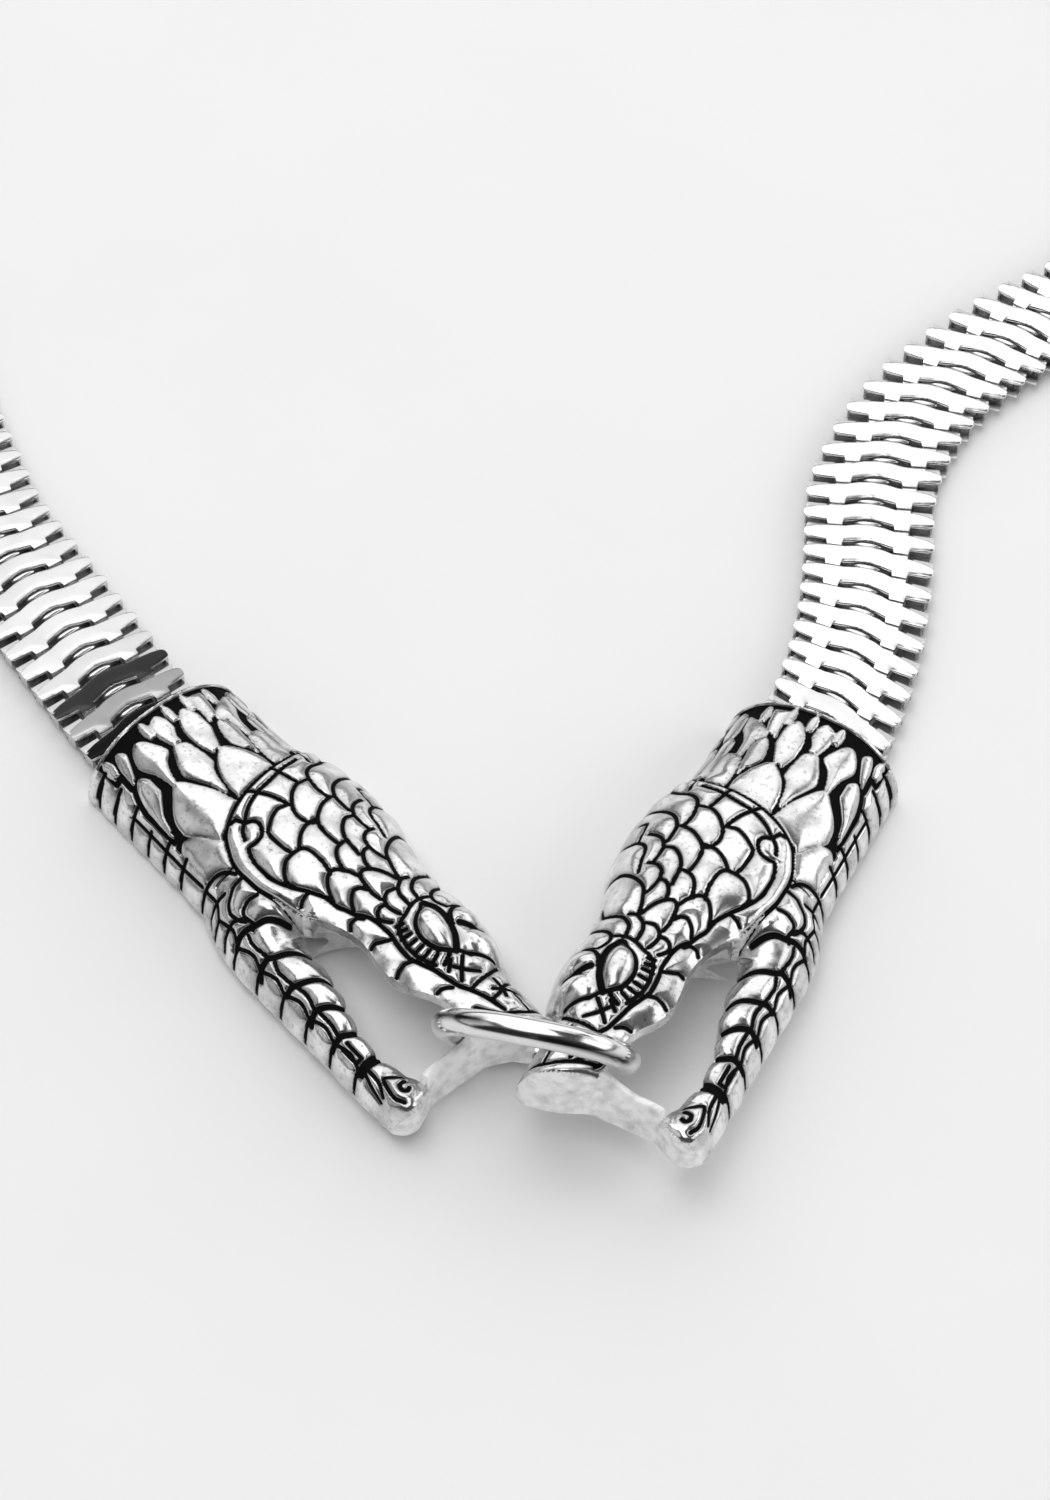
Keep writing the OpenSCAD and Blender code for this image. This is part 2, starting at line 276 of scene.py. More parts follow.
class Paint:
    """Node tree of a material or of the room."""

    def __init__(self, holder: bpy.types.ID, shader: str) -> None:
        """Open the tree of a new material or room.

        Args:
            holder: The material or room.
            shader: Name of the node that its values go to.
        """
        holder.use_nodes = True
        self.holder = holder
        self.tree = holder.node_tree
        self.shader = self.tree.nodes[shader]

    @classmethod
    def finish(cls, name: str) -> "Paint":
        """Start a material with a plain Principled shader."""
        return cls(bpy.data.materials.new(name), "Principled BSDF")

    def feed(self, entry: bpy.types.NodeSocket, value: object) -> None:
        """Link or set an input.

        Args:
            entry: The input.
            value: A socket to link to it, or a plain value.
        """
        if isinstance(value, Socket):
            self.tree.links.new(value.link, entry)
        else:
            entry.default_value = value

    def node(self, kind: str, settings: dict, inputs: dict, output: object = 0) -> Socket:
        """Add any node.

        Args:
            kind: The node's type.
            settings: Properties that are set first; "stops" is place and brightness of a ramp's two stops.
            inputs: Value or link of each socket, by name or number.
            output: Name or number of the output to return.

        Returns:
            The output's socket.
        """
        node = self.tree.nodes.new(kind)
        for key, value in settings.items():
            if key == "stops":
                for element, (place, level) in zip(node.color_ramp.elements, value):
                    element.position = place
                    element.color = grey(level)
            else:
                setattr(node, key, value)
        for key, value in inputs.items():
            self.feed(node.inputs[key], value)
        return Socket(self, node.outputs[output])

    def noise(self, grain: Grain) -> Socket:
        """Noise, read from the piece's own coordinates."""
        place = self.node("ShaderNodeTexCoord", {}, {}, "Object")
        return self.node(
            "ShaderNodeTexNoise", {}, {"Vector": place, "Scale": grain.scale, "Detail": grain.detail}
        )

    def stored(self, name: str) -> Socket:
        """Number that the mesh keeps for each corner."""
        return self.node("ShaderNodeAttribute", {"attribute_name": name}, {}, "Fac")

    def ramp(self, value: Socket, start: float, end: float, low: float = 0.0, high: float = 1.0) -> Socket:
        """Turn a value into a grey that goes from low to high between a start and an end."""
        return self.node("ShaderNodeValToRGB", {"stops": ((start, low), (end, high))}, {"Fac": value})

    def spots(self, grain: Grain) -> Socket:
        """Turn a noise into spots."""
        return self.ramp(self.noise(grain), *grain.span)

    def mix(self, share: Socket, first: object, second: object) -> Socket:
        """Mix two colours by a share."""
        return self.node("ShaderNodeMix", {"data_type": "RGBA"}, {0: share, 6: first, 7: second}, 2)

    def set(self, name: str, value: object) -> None:
        """Set or link one socket of the shader."""
        self.feed(self.shader.inputs[name], value)

    def bump(self, height: Socket, strength: float, depth: float) -> None:
        """Let a height bend the shader's normal, by a depth in metres."""
        inputs = {"Height": height, "Strength": strength, "Distance": depth}
        self.set("Normal", self.node("ShaderNodeBump", {}, inputs))


@dataclass(frozen=True)
class CastSilver:
    """Antique silver of the heads: bright where it stands proud, black in the recesses."""

    # Brightness of the metal, its worn patches, its specks, its shaded edges and its black
    bright: float = 0.92
    worn: float = 0.58
    speck: float = 0.28
    shaded: float = 0.06
    black: float = 0.006
    # Roughness of the metal and of its black, and what worn patches and cast walls add
    gloss: float = 0.19
    dull: float = 0.6
    worn_rough: float = 0.09
    wall_rough: float = 0.26
    # Cast walls: their brightness, that of their stains, and how little they are metal
    wall: float = 0.96
    wall_stain: float = 0.62
    wall_matt: float = 0.8
    sheen: float = 0.02
    # A recess turns black between these values
    recess: tuple[float, float] = (0.28, 0.6)
    cloud: Grain = Grain(420, 4, (0.38, 0.66))
    grain: Grain = Grain(2600, 3)
    specks: Grain = Grain(2400, 5, (0.55, 0.8))
    stains: Grain = Grain(900, 7, (0.42, 0.75))
    pits: Grain = Grain(1500, 5, (0.3, 0.45))
    # Bumps: share of each noise, their strength, and their depth in metres
    grain_bump: float = 0.25
    wall_bump: float = 0.9
    cloud_bump: float = 0.6
    pit_bump: float = 1.2
    strength: float = 0.4
    depth: float = 0.00007

    def make(self) -> bpy.types.Material:
        """Build the material.

        Returns:
            The finished material.
        """
        paint = Paint.finish("cast_silver")
        recess = paint.ramp(paint.stored("recess"), *self.recess)
        cast = paint.stored("cast")
        cloud = paint.noise(self.cloud)
        patch = paint.ramp(cloud, *self.cloud.span)
        metal = paint.mix(patch, grey(self.bright), grey(self.worn))
        speckled = paint.mix(paint.spots(self.specks), metal, grey(self.speck))
        dimmed = paint.mix(paint.stored("shade"), speckled, grey(self.shaded))
        rough_wall = paint.mix(paint.spots(self.stains), grey(self.wall), grey(self.wall_stain))
        walled = paint.mix(cast, dimmed, rough_wall)
        paint.set("Base Color", paint.mix(recess, walled, grey(self.black)))
        paint.set("Metallic", (1 - recess) * (1 - cast * self.wall_matt))
        paint.set("Specular IOR Level", self.sheen)
        rough = self.gloss + patch * self.worn_rough + cast * self.wall_rough
        paint.set("Roughness", rough + recess * (self.dull - self.gloss))
        grains = paint.noise(self.grain) * (self.grain_bump + cast * self.wall_bump)
        height = grains + cloud * self.cloud_bump + paint.spots(self.pits) * cast * self.pit_bump
        paint.bump(height, self.strength, self.depth)
        return paint.holder


@dataclass(frozen=True)
class PlatedSteel:
    """Bright plating of the chain's links and the ring."""

    name: str
    tint: float
    gloss: float
    wave: float
    # Brightness of the smears, as a share of the tint, and of the painted dark reflections and shade
    smeared: float = 0.9
    dark: float = 0.008
    cloud: Grain = Grain(300, 3, (0.35, 0.7))
    grain: Grain = Grain(1800, 4)
    smear_rough: float = 0.06
    grain_rough: float = 0.05
    # Bumps: share of each noise, and their depth in metres
    cloud_bump: float = 0.8
    grain_bump: float = 0.2
    depth: float = 0.00005

    def make(self) -> bpy.types.Material:
        """Build the material.

        Returns:
            The finished material.
        """
        paint = Paint.finish(self.name)
        cloud = paint.noise(self.cloud)
        grain = paint.noise(self.grain)
        smear = paint.ramp(cloud, *self.cloud.span)
        plating = paint.mix(smear, grey(self.tint), grey(self.tint * self.smeared))
        # The stored number paints dark reflections and painted shade over the plating
        paint.set("Base Color", paint.mix(paint.stored("painted_dark"), plating, grey(self.dark)))
        paint.set("Metallic", 1.0)
        paint.set("Roughness", self.gloss + smear * self.smear_rough + grain * self.grain_rough)
        paint.bump(cloud * self.cloud_bump + grain * self.grain_bump, self.wave, self.depth)
        return paint.holder


@dataclass(frozen=True)
class TablePaper:
    """Pale plain table top."""

    tint: float = 0.89
    mottled: float = 0.985
    rough: float = 0.6
    sheen: float = 0.2
    grain: Grain = Grain(40, 3, (0.3, 0.7))

    def make(self) -> bpy.types.Material:
        """Build the material.

        Returns:
            The finished material.
        """
        paint = Paint.finish("table_paper")
        noise = paint.noise(self.grain)
        paint.set("Base Color", paint.ramp(noise, *self.grain.span, self.tint, self.tint * self.mottled))
        paint.set("Roughness", self.rough)
        paint.set("Specular IOR Level", self.sheen)
        return paint.holder


class Side(Enum):
    """Side of the choker, as the picture shows it."""

    LEFT = 1
    RIGHT = -1


@dataclass(frozen=True)
class Stand:
    """How a head stands: its side, the middle of its rear, its heading and the lift of its muzzle."""

    side: Side
    rear: tuple[float, float]
    turn: float
    lift: float
    heel: float = 0.2

    def place(self, points: Points) -> Points:
        """Carry a head's own drawn points to the table, in metres.

        Args:
            points: Points with x to the muzzle, y to the inner side and z up.

        Returns:
            The points in the object's frame.
        """
        lift, turn = math.radians(self.lift), math.radians(self.turn)
        x = points[..., 0] * math.cos(lift) - points[..., 2] * math.sin(lift)
        z = points[..., 0] * math.sin(lift) + points[..., 2] * math.cos(lift)
        y = points[..., 1] * self.side.value
        drawn = np.stack(
            [
                x * math.cos(turn) - y * math.sin(turn) + self.rear[0],
                x * math.sin(turn) + y * math.cos(turn) + self.rear[1],
                z + self.heel * math.sin(lift),
            ],
            axis=-1,
        )
        return to_table(drawn)


STANDS = (
    Stand(Side.LEFT, (-39.0, -1.69), -48.3, 1.5),
    Stand(Side.RIGHT, (31.1, -1.5), -116.3, 5.5),
)


# Painted reflections of the ring, as dark streaks: [from and to along the wire, side at both, half width],
# in degrees, and depth
PAINTED_REFLECTIONS = (
    (168, 112, -20, -10, 15, 0.97),
    (128, 84, 20, 24, 9, 0.85),
    (92, 14, 20, 32, 16, 0.98),
    (74, 30, -24, -18, 6, 0.7),
)


@dataclass
class Ring:
    """Closed oval wire that joins the two muzzles."""

    radius: float = 8.25
    straight: float = 2.0
    wire: float = 1.4
    slope: float = 64.4
    turn: float = -11.1
    foot: tuple[float, float] = (1.76, -43.36)
    room: float = 0.12
    segments: tuple[int, int] = (160, 40)
    crease: float = 60.0
    streak_end: Step = Step(0.0, 1 / 6)
    plating: PlatedSteel = PlatedSteel("ring_plating", tint=0.84, gloss=0.13, wave=0.3)

    def frame_axes(self) -> tuple[Points, Points, Points]:
        """Give the wire's middle and its long and short axes.

        Returns:
            Middle, unit vector along the straight stretches, unit vector across them.
        """
        slope, turn = math.radians(self.slope), math.radians(self.turn)
        middle = np.array([*self.foot, self.wire + self.radius * math.sin(slope)])
        along = np.array([math.cos(turn), math.sin(turn), 0.0])
        level = np.array([-math.sin(turn), math.cos(turn), 0.0])
        across = -level * math.cos(slope) + np.array([0.0, 0.0, math.sin(slope)])
        return middle, along, across

    def push_clear(self, points: Points) -> Points:
        """Move points out of the wire and its room.

        Args:
            points: Drawn points of another piece.

        Returns:
            The points, none of them nearer to the wire than its room.
        """
        middle, along, across = self.frame_axes()
        away = points - middle
        u, v = away @ along, away @ across
        core_u = np.clip(u, -self.straight / 2, self.straight / 2)
        span = np.maximum(np.hypot(u - core_u, v), TINY)
        on_u = core_u + (u - core_u) / span * self.radius
        on_v = v / span * self.radius
        nearest = middle + on_u[..., None] * along + on_v[..., None] * across
        gap = points - nearest
        distance = np.maximum(np.linalg.norm(gap, axis=-1), TINY)
        reach = self.wire + self.room
        inside = distance < reach
        moved = nearest + gap / distance[..., None] * reach
        return np.where(inside[..., None], moved, points)

    def painted_reflections(self, flat: Points) -> Points:
        """How dark the painted reflections, dark streaks along the wire, leave each of its points.

        Args:
            flat: Points of the ring in its own plane.

        Returns:
            One number a point, from 0 where it is bright to 1 where it is black.
        """
        span = np.hypot(np.clip(np.abs(flat[:, 0]) - self.straight / 2, 0, None), flat[:, 1])
        around = np.degrees(np.arctan2(flat[:, 2], span - self.radius))
        along = np.degrees(np.arctan2(flat[:, 1], flat[:, 0]))
        dark = np.zeros(len(flat))
        for start, end, side_start, side_end, half, depth in PAINTED_REFLECTIONS:
            share = (along - start) / (end - start)
            side = side_start + (side_end - side_start) * share
            inside = self.streak_end(share) * self.streak_end(1 - share)
            dark = np.maximum(dark, depth * inside * np.exp(-(((around - side) / half) ** 2)))
        return dark

    def build(self) -> bpy.types.Object:
        """Spin the wire, stretch its halves apart and put it in its place.

        Returns:
            The ring.
        """
        Bench.clear()
        bpy.ops.mesh.primitive_torus_add(
            major_segments=self.segments[0],
            minor_segments=self.segments[1],
            major_radius=self.radius,
            minor_radius=self.wire,
        )
        piece = bpy.context.active_object
        piece.name = "choker_ring"
        piece.data.name = "choker_ring"
        count = len(piece.data.vertices)
        flat = np.empty(count * 3)
        piece.data.vertices.foreach_get("co", flat)
        flat = flat.reshape(-1, 3)
        flat[:, 0] += np.clip(flat[:, 0] / self.wire, -1, 1) * self.straight / 2
        middle, along, across = self.frame_axes()
        normal = np.cross(along, across)
        world = middle + flat[:, :1] * along + flat[:, 1:2] * across + flat[:, 2:] * normal
        piece.data.vertices.foreach_set("co", to_table(world).reshape(-1).astype(np.float32))
        piece.data.update()
        # Painted dark reflections along the wire, stored for the plating to darken it
        Bench.keep_number(piece, "painted_dark", self.painted_reflections(flat))
        Bench.smooth(piece, self.crease)
        piece.data.materials.append(self.plating.make())
        return piece


# Skin of a head: [x, outer edge, inner edge, ridge, height]
SKIN = (
    (-0.2, -10.0, 10.0, 0.0, 8.35), (4, -10.0, 10.0, 0.0, 8.35), (8, -10.0, 9.9, 0.0, 8.4),
    (11, -10.0, 10.1, 0.3, 8.4), (13, -10.0, 10.9, 0.8, 8.4), (16, -10.0, 11.6, 1.6, 8.5),
    (20, -10.2, 12.0, 2.2, 8.6), (24, -11.5, 11.9, 2.4, 8.6), (28, -12.1, 11.0, 2.6, 8.6),
    (32, -12.2, 9.9, 2.8, 8.5), (36, -12.2, 9.7, 3.2, 8.1), (40, -12.2, 10.0, 3.6, 7.9),
    (44, -12.2, 9.4, 3.6, 7.6), (47, -12.3, 8.0, 3.2, 7.0), (50, -12.3, 7.3, 2.6, 6.7),
    (53, -12.1, 7.3, 2.6, 6.6), (57, -11.5, 7.3, 2.6, 6.3),
)
# Upper lip: [x, y of its edge], and the height of the edge
LIP_EDGE = (
    (31.2, -4.6), (31.6, -4.15), (33, -3.4), (35, -2.65), (37.5, -2.25), (40, -2.5), (42.5, -2.7),
    (44.5, -2.0), (46, -1.1), (48, -0.45), (50.5, -0.1), (52.6, 0.0), (57, 0.1),
)
# Where the mouth starts
MOUTH = LIP_EDGE[0][0]
LIP_HEIGHT = ((28, 6.4), (32, 6.6), (36, 6.5), (40, 6.2), (44, 6.0), (48, 6.0), (54, 5.9), (57, 5.9))
# Hollow under the upper lip: [x, reach inwards, reach to the rear]
LIP_HOLLOW = (
    (31.2, 0, 3.2), (31.9, 1.6, 2.9), (34, 3.5, 1.4), (38, 4.4, 0), (44, 4.4, 0), (48, 3.6, 0),
    (51, 1.8, 0), (52.85, 0, 0),
)
# The same hollow beside the jaw: [x, reach to the rear]
JAW_HOLLOW = ((31.2, 3.2), (31.5, 2.7), (32, 1.8), (34, 0), (57, 0))
# Opening in the underside behind the mouth: [x, reach from the split to the jaw and to the lip]
CAVE = ((28.0, 0, 0), (28.9, 0.7, 1.4), (30.2, 1.0, 2.6), (31.2, 1.4, 3.2))
# Lower jaw: [x, y of its inner edge], and the line and height of its crest
JAW_EDGE = (
    (31.2, -4.6), (31.45, -5.6), (32, -6.05), (34, -6.2), (37, -6.6), (39, -7.0), (41.5, -7.8),
    (44, -8.5), (46.5, -8.75), (49, -8.6), (51, -8.2), (52.4, -7.6), (57, -6.9),
)
JAW_CREST = ((26, -8.6), (34, -8.6), (40, -9.0), (44, -9.9), (50, -10.2), (57, -10.4))
JAW_HEIGHT = (
    (26, 5.6), (30, 5.1), (34, 5.0), (38, 5.2), (42, 4.9), (46, 4.4), (50, 4.5), (57, 4.5),
)
# Edge of the hood behind the mouth, where the two halves of the skin part: [x, y]
SPLIT = (
    (-0.2, -5.9), (12, -6.0), (19.2, -6.1), (22.6, -6.45), (24.5, -6.45), (26.5, -6.2), (28.2, -5.7),
    (29.6, -5.2), (31.2, -4.6),
)
# Foot of the flat front: [y, x]
FRONT = (
    (-12.3, 52.4), (-11.7, 53.8), (-10.8, 54.75), (-10.0, 54.9), (-8.5, 54.3), (-6.5, 53.2),
    (-4.2, 52.9), (-2.0, 53.1), (0.5, 53.7), (3.0, 55.0), (5.0, 55.6), (6.2, 55.75), (7.1, 55.4),
    (7.3, 54.8),
)
# Top of the bar that closes the mouth: [y, height]
BAR_TOP = ((-6.8, 4.1), (-4.2, 3.9), (-2.0, 4.8))


@dataclass
class Skin:
    """Smooth surface of a head, without its relief, over its own drawn x and y."""

    # Where the round neck turns into the upper head and the jaw
    parting: Step = Step(27.0, 4.0)
    power: float = 2.2
    jaw_margin: float = 0.9

    def __post_init__(self) -> None:
        """Draw the curves through the tables."""
        self.outer = table_curve(SKIN, 1)
        self.inner = table_curve(SKIN, 2)
        self.ridge = table_curve(SKIN, 3)
        self.crest = table_curve(SKIN, 4)
        self.lip = table_curve(LIP_EDGE)
        self.lip_height = table_curve(LIP_HEIGHT)
        self.hollow = table_curve(LIP_HOLLOW)
        self.lip_back = table_curve(LIP_HOLLOW, 2)
        self.jaw_back = table_curve(JAW_HOLLOW)
        self.jaw_edge = table_curve(JAW_EDGE)
        self.jaw_crest = table_curve(JAW_CREST)
        self.jaw_height = table_curve(JAW_HEIGHT)
        self.split = table_curve(SPLIT)
        self.front = table_curve(FRONT)

    def dome(self, share: Points) -> Points:
        """Rounded section, 1 at its middle and 0 at a share of 1."""
        return np.sqrt(np.maximum(0.0, 1 - np.abs(share) ** self.power))

    def body(self, x: Points, y: Points) -> Points:
        """Work out the height of the undivided section.

        Args:
            x: Places along the head.
            y: Places across it.

        Returns:
            The height at each.
        """
        ridge = self.ridge(x)
        side = np.where(y > ridge, self.inner(x) - ridge, ridge - self.outer(x))
        return self.crest(x) * self.dome((y - ridge) / side)

    def upper(self, x: Points, y: Points) -> Points:
        """Work out the height of the upper head, which falls from the ridge to the lip.

        Args:
            x: Places along the head.
            y: Places across it.

        Returns:
            The height at each.
        """
        ridge, crest = self.ridge(x), self.crest(x)
        share = (ridge - y) / (ridge - self.lip(x))
        face = crest - (crest - self.lip_height(x)) * share**2
        body = self.body(x, y)
        return np.where(y > ridge, body, body + self.parting(x) * (face - body))

    def lower(self, x: Points, y: Points) -> Points:
        """Work out the height of the cheek and the lower jaw.

        Args:
            x: Places along the head.
            y: Places across it.

        Returns:
            The height at each.
        """
        crest, edge = self.jaw_crest(x), self.jaw_edge(x) + self.jaw_margin
        side = np.where(y > crest, edge - crest, crest - self.outer(x))
        jaw = self.jaw_height(x) * self.dome((y - crest) / side)
        body = self.body(x, y)
        return body + self.parting(x) * (jaw - body)

    def height(self, x: Points, y: Points) -> Points:
        """Work out the height on either side of the mouth's line."""
        line = np.where(x < MOUTH, self.split(x), (self.lip(x) + self.jaw_edge(x)) / 2)
        return np.where(y > line, self.upper(x, y), self.lower(x, y))


# Half widths and depths of the engraved lines
MAIN, WIDE = 0.19, 0.30
SHALLOW, DEEP = 0.22, 0.34

# Scale edges of the hood and the face
HOOD_LINES = (
    ((13.8, 10.6), (15.2, 9.8), (16.1, 8.7), (16.5, 7.3), (17.3, 6.3), (18.4, 5.9), (19.8, 5.7),
     (21.3, 5.9)),
    ((18.3, 11.3), (19, 9.9), (19.4, 8.8), (20.1, 7.6), (21, 6.9), (22.2, 6.5), (23.8, 6.5), (24.4, 6.8)),
    ((20.5, 10.9), (21, 10), (22.5, 9.8), (24, 9.6), (24.6, 8.8), (25.3, 8.3), (27, 7.95), (28.7, 7.5)),
    ((23.4, 11.6), (24, 10.5), (24.1, 9.7)),
    ((22.9, 9), (23.2, 8.1), (23.7, 7.3), (24.4, 6.8), (25.3, 6.5), (27.1, 6.6)),
    ((27.3, 7.1), (27.4, 6.3), (27.9, 5.5), (28.6, 5.1), (29.5, 5), (30.5, 5.1), (31.5, 5.4)),
    ((28.2, 11), (28.4, 9.5), (29, 8.2), (29.8, 7), (30.8, 6), (32, 5.5), (33.2, 5.1), (34.3, 4.9)),
    ((31, 10), (32.5, 9.3), (33.5, 8.9), (34.5, 8.3), (34.8, 7.4), (35, 6.4), (35.6, 5.5), (36.3, 5),
     (37.6, 4.8)),
    ((35, 9.5), (36, 8.9), (36.8, 7.8), (37.2, 6.9), (37.8, 6.2), (38.5, 6), (39.3, 6.3), (39.9, 6.9),
     (40.1, 8), (39.9, 9.3)),
    ((40.1, 7.6), (40.4, 6.6), (41.2, 5.9), (42, 5.6)),
    ((18.1, 5.6), (18.1, 4.6), (18.7, 3.4), (19.6, 2.6), (20.6, 2), (21.6, 1.8), (22.7, 2), (23.4, 2.5)),
    ((21.5, 6.2), (21.8, 5), (22.5, 3.9), (23.3, 3.1), (24.2, 2.7), (25.4, 2.6), (27, 2.7)),
    ((24.9, 6.6), (24.8, 5.6), (25.3, 4.8), (26.2, 4.1), (27.2, 3.7), (28.5, 3.6), (29.6, 3.5)),
    ((29.3, 4.9), (29.5, 4.2), (30.2, 3.6), (31, 3.3), (31.8, 3.2)),
    ((31.8, 3.3), (32.6, 3.9), (33.6, 4.4), (34.2, 4.6)),
    ((34.6, 5.8), (34.5, 5.1), (34.9, 4.4), (35.4, 3.9), (36.3, 3.6), (37.6, 3.6)),
    ((27.3, 3.3), (27.4, 2.6), (27.9, 1.9), (28.8, 1.4), (30, 1.1)),
    ((31.7, 3.2), (31.4, 2.5), (31.8, 1.9), (32.6, 1.7), (34, 1.6), (35.2, 1.8)),
    ((35.1, 3.6), (35, 2.9), (35.4, 2.2), (36.2, 1.8), (37.3, 2), (37.8, 2.2)),
    ((23.1, 2.9), (23.1, 1.8), (23.4, 1), (24, 0.2), (24.9, -0.6)),
    ((19.7, 1.7), (19.5, 0.9), (19.8, 0), (20.4, -0.9), (21.2, -1.7), (22, -1.8), (23.5, -1.75),
     (24.8, -1.5)),
    ((25, -0.6), (25.3, -0.2), (26.3, 0.1), (27.6, 0.15), (28.8, 0), (29.5, -0.2)),
    ((25, -0.5), (24.95, -1.6), (25.1, -2.4), (25.6, -3.1), (26.4, -3.7), (27.3, -4), (27.9, -3.8)),
    ((29.9, 1), (29.4, 0.4), (29.3, 0), (29.5, -0.5), (30.2, -1.1), (31, -1.5), (32, -1.8)),
    ((30, 0.95), (30.6, 1.4), (31.4, 1.7), (31.9, 1.9)),
    ((33.4, 1.4), (32.8, 1), (32.6, 0.4), (32.9, -0.1), (33.5, -0.6), (34.2, -0.9)),
    ((36, 1.9), (35.9, 1.2), (36.2, 0.6), (36.8, 0.35), (37.6, 0.7), (38, 1)),
)
# Groove between the lip and the face, from the hood's lower corner to the nose
LIP_GROOVE = (
    (21, -4.2), (22, -4.6), (23.5, -4.85), (25, -4.85), (26.4, -4.6), (27.5, -4.15), (28.2, -3.7),
    (29.2, -3), (30.6, -2.3), (31.9, -1.95), (32.6, -1.85), (33.6, -1.4), (34.6, -1.05), (35.2, -0.6),
    (36.2, -0.15), (37.5, 0.05), (39, 0.1), (40, -0.1), (42, -0.25), (43.5, 0.2), (45, 0.8), (46.5, 1.2),
    (48, 1.6), (49, 2.1), (51, 2.8), (53, 3.2),
)
# Cross lines of the lip
LIP_LINES = (
    ((29.4, -3.1), (29.5, -3.8), (29.9, -4.4)),
    ((35.6, -0.7), (35, -1.2), (34.9, -1.8), (35.4, -2.3)),
    ((39.3, -0.3), (38.8, -1), (38.4, -1.6), (38.5, -2.1)),
    ((42.7, -0.3), (42.4, -1), (42.5, -1.7), (42.8, -2.3)),
    ((47.6, 1), (47.2, 0.6), (46.9, 0), (46.9, -0.4)),
)
# Outer edge of the hood, which stands proud of the neck, and the groove along its band
HOOD_EDGE = (
    (12.4, 10.4), (12.8, 9.6), (13.2, 8.5), (13.7, 7), (14, 6), (14.2, 5), (14.4, 4), (14.7, 2.4),
    (15.1, 0.6), (15.5, -0.8), (16.1, -2.3), (16.9, -3.7), (17.9, -4.9), (19.2, -5.6), (20.8, -6.2),
    (22.6, -6.45), (24.5, -6.45), (26.5, -6.2), (28.2, -5.7), (29.6, -5.2), (31.2, -4.6),
)
# Corners that close that edge round the whole hood and face, and round the neck
HOOD_CORNERS = ((57, -0.2), (57, 16), (12.4, 16))
NECK_CORNERS = ((31.2, 14), (12.4, 14))
HOOD_GROOVES = (
    ((14.7, 6.9), (15, 6), (15.2, 5), (15.5, 4), (15.9, 2.6), (16.3, 0.7), (16.8, -0.6), (17.4, -1.6),
     (18.3, -2.6)),
    ((17.3, -3.6), (17.3, -3.1), (17.8, -2.85), (18.4, -2.6), (18.8, -1.9), (19.5, -1.65), (20.3, -1.9),
     (20.9, -2.5), (21.05, -3.3), (20.9, -4.0)),
    ((18.4, -2.8), (19, -3.4), (19.9, -3.8)),
    ((14.8, 3.9), (15.6, 4.1), (17.7, 4.6)),
    ((15.6, 0.1), (16.4, 0.65), (17.5, 1.3), (18.7, 1.75), (19.8, 2.05)),
    ((13.7, 7.8), (14.5, 8.1), (15.6, 7.9)),
)
# Lids and corners of the eye, the lashes below it, the brow and the nose
EYE_LINES = (
    ((38.2, 4.6), (38.8, 4), (39.1, 3.4), (39.7, 2.7), (40.6, 2.2), (41.6, 2), (42.6, 2.1), (43.4, 2.3),
     (44.1, 2.8), (44.7, 3.6)),
    ((37.8, 5.8), (37.6, 4.6), (37.8, 3.6), (38.2, 2.7), (38.6, 1.6), (39.3, 0.9), (40.3, 0.6), (41.5, 0.4),
     (42.4, 0.4), (43.2, 0.6), (44, 0.9), (44.7, 1.2)),
    ((45.6, 3.9), (46.6, 3), (47.7, 2.1)),
    ((47.9, 4.2), (47.2, 3.4), (46, 2.5)),
    ((44.9, 4), (45.6, 4.5), (46.5, 5.4), (47.4, 6.2)),
    ((48, 6.2), (48.6, 4.6), (48.8, 3.5), (49, 2.5)),
    ((50, 6.1), (50.6, 4.9), (51.2, 3.9), (51.4, 3)),
    ((52, 6), (51.2, 4.9), (50.4, 3.8)),
    ((49.3, 4.7), (50.5, 4.6), (51.8, 4.3)),
    ((52.4, 0.6), (53.1, 2.2), (53.9, 3.8), (54.4, 5.2), (54.2, 6.6)),
    ((50.9, 1.2), (52.2, 1.9), (53.2, 2.6)),
    ((51.9, 5.2), (53.0, 5.4), (54.2, 5.3)),
    ((51.2, 0.5), (52.0, 0.4), (52.7, 0.7)),
)
EYE_CREASE = (
    (38.3, 4.9), (38.8, 5.2), (39.5, 5.6), (40.5, 5.7), (41.6, 5.5), (43, 5), (44, 4.4), (44.8, 3.8),
)
BROW_WEDGE = ((42.2, 6.2), (42.9, 7.0), (43.4, 7.8), (43.5, 8.4))
LASHES = (
    ((38.9, 1.7), (38.7, 1.0)), ((39.6, 1.6), (39.4, 0.7)), ((40.3, 1.6), (40.2, 0.5)),
    ((41.2, 1.55), (41.2, 0.4)), ((42.2, 1.55), (42.3, 0.4)), ((43.1, 1.7), (43.3, 0.6)),
    ((43.9, 2.1), (44.4, 0.9)), ((44.7, 3), (45.2, 1.9)), ((45.2, 2.7), (46, 1.8)),
)
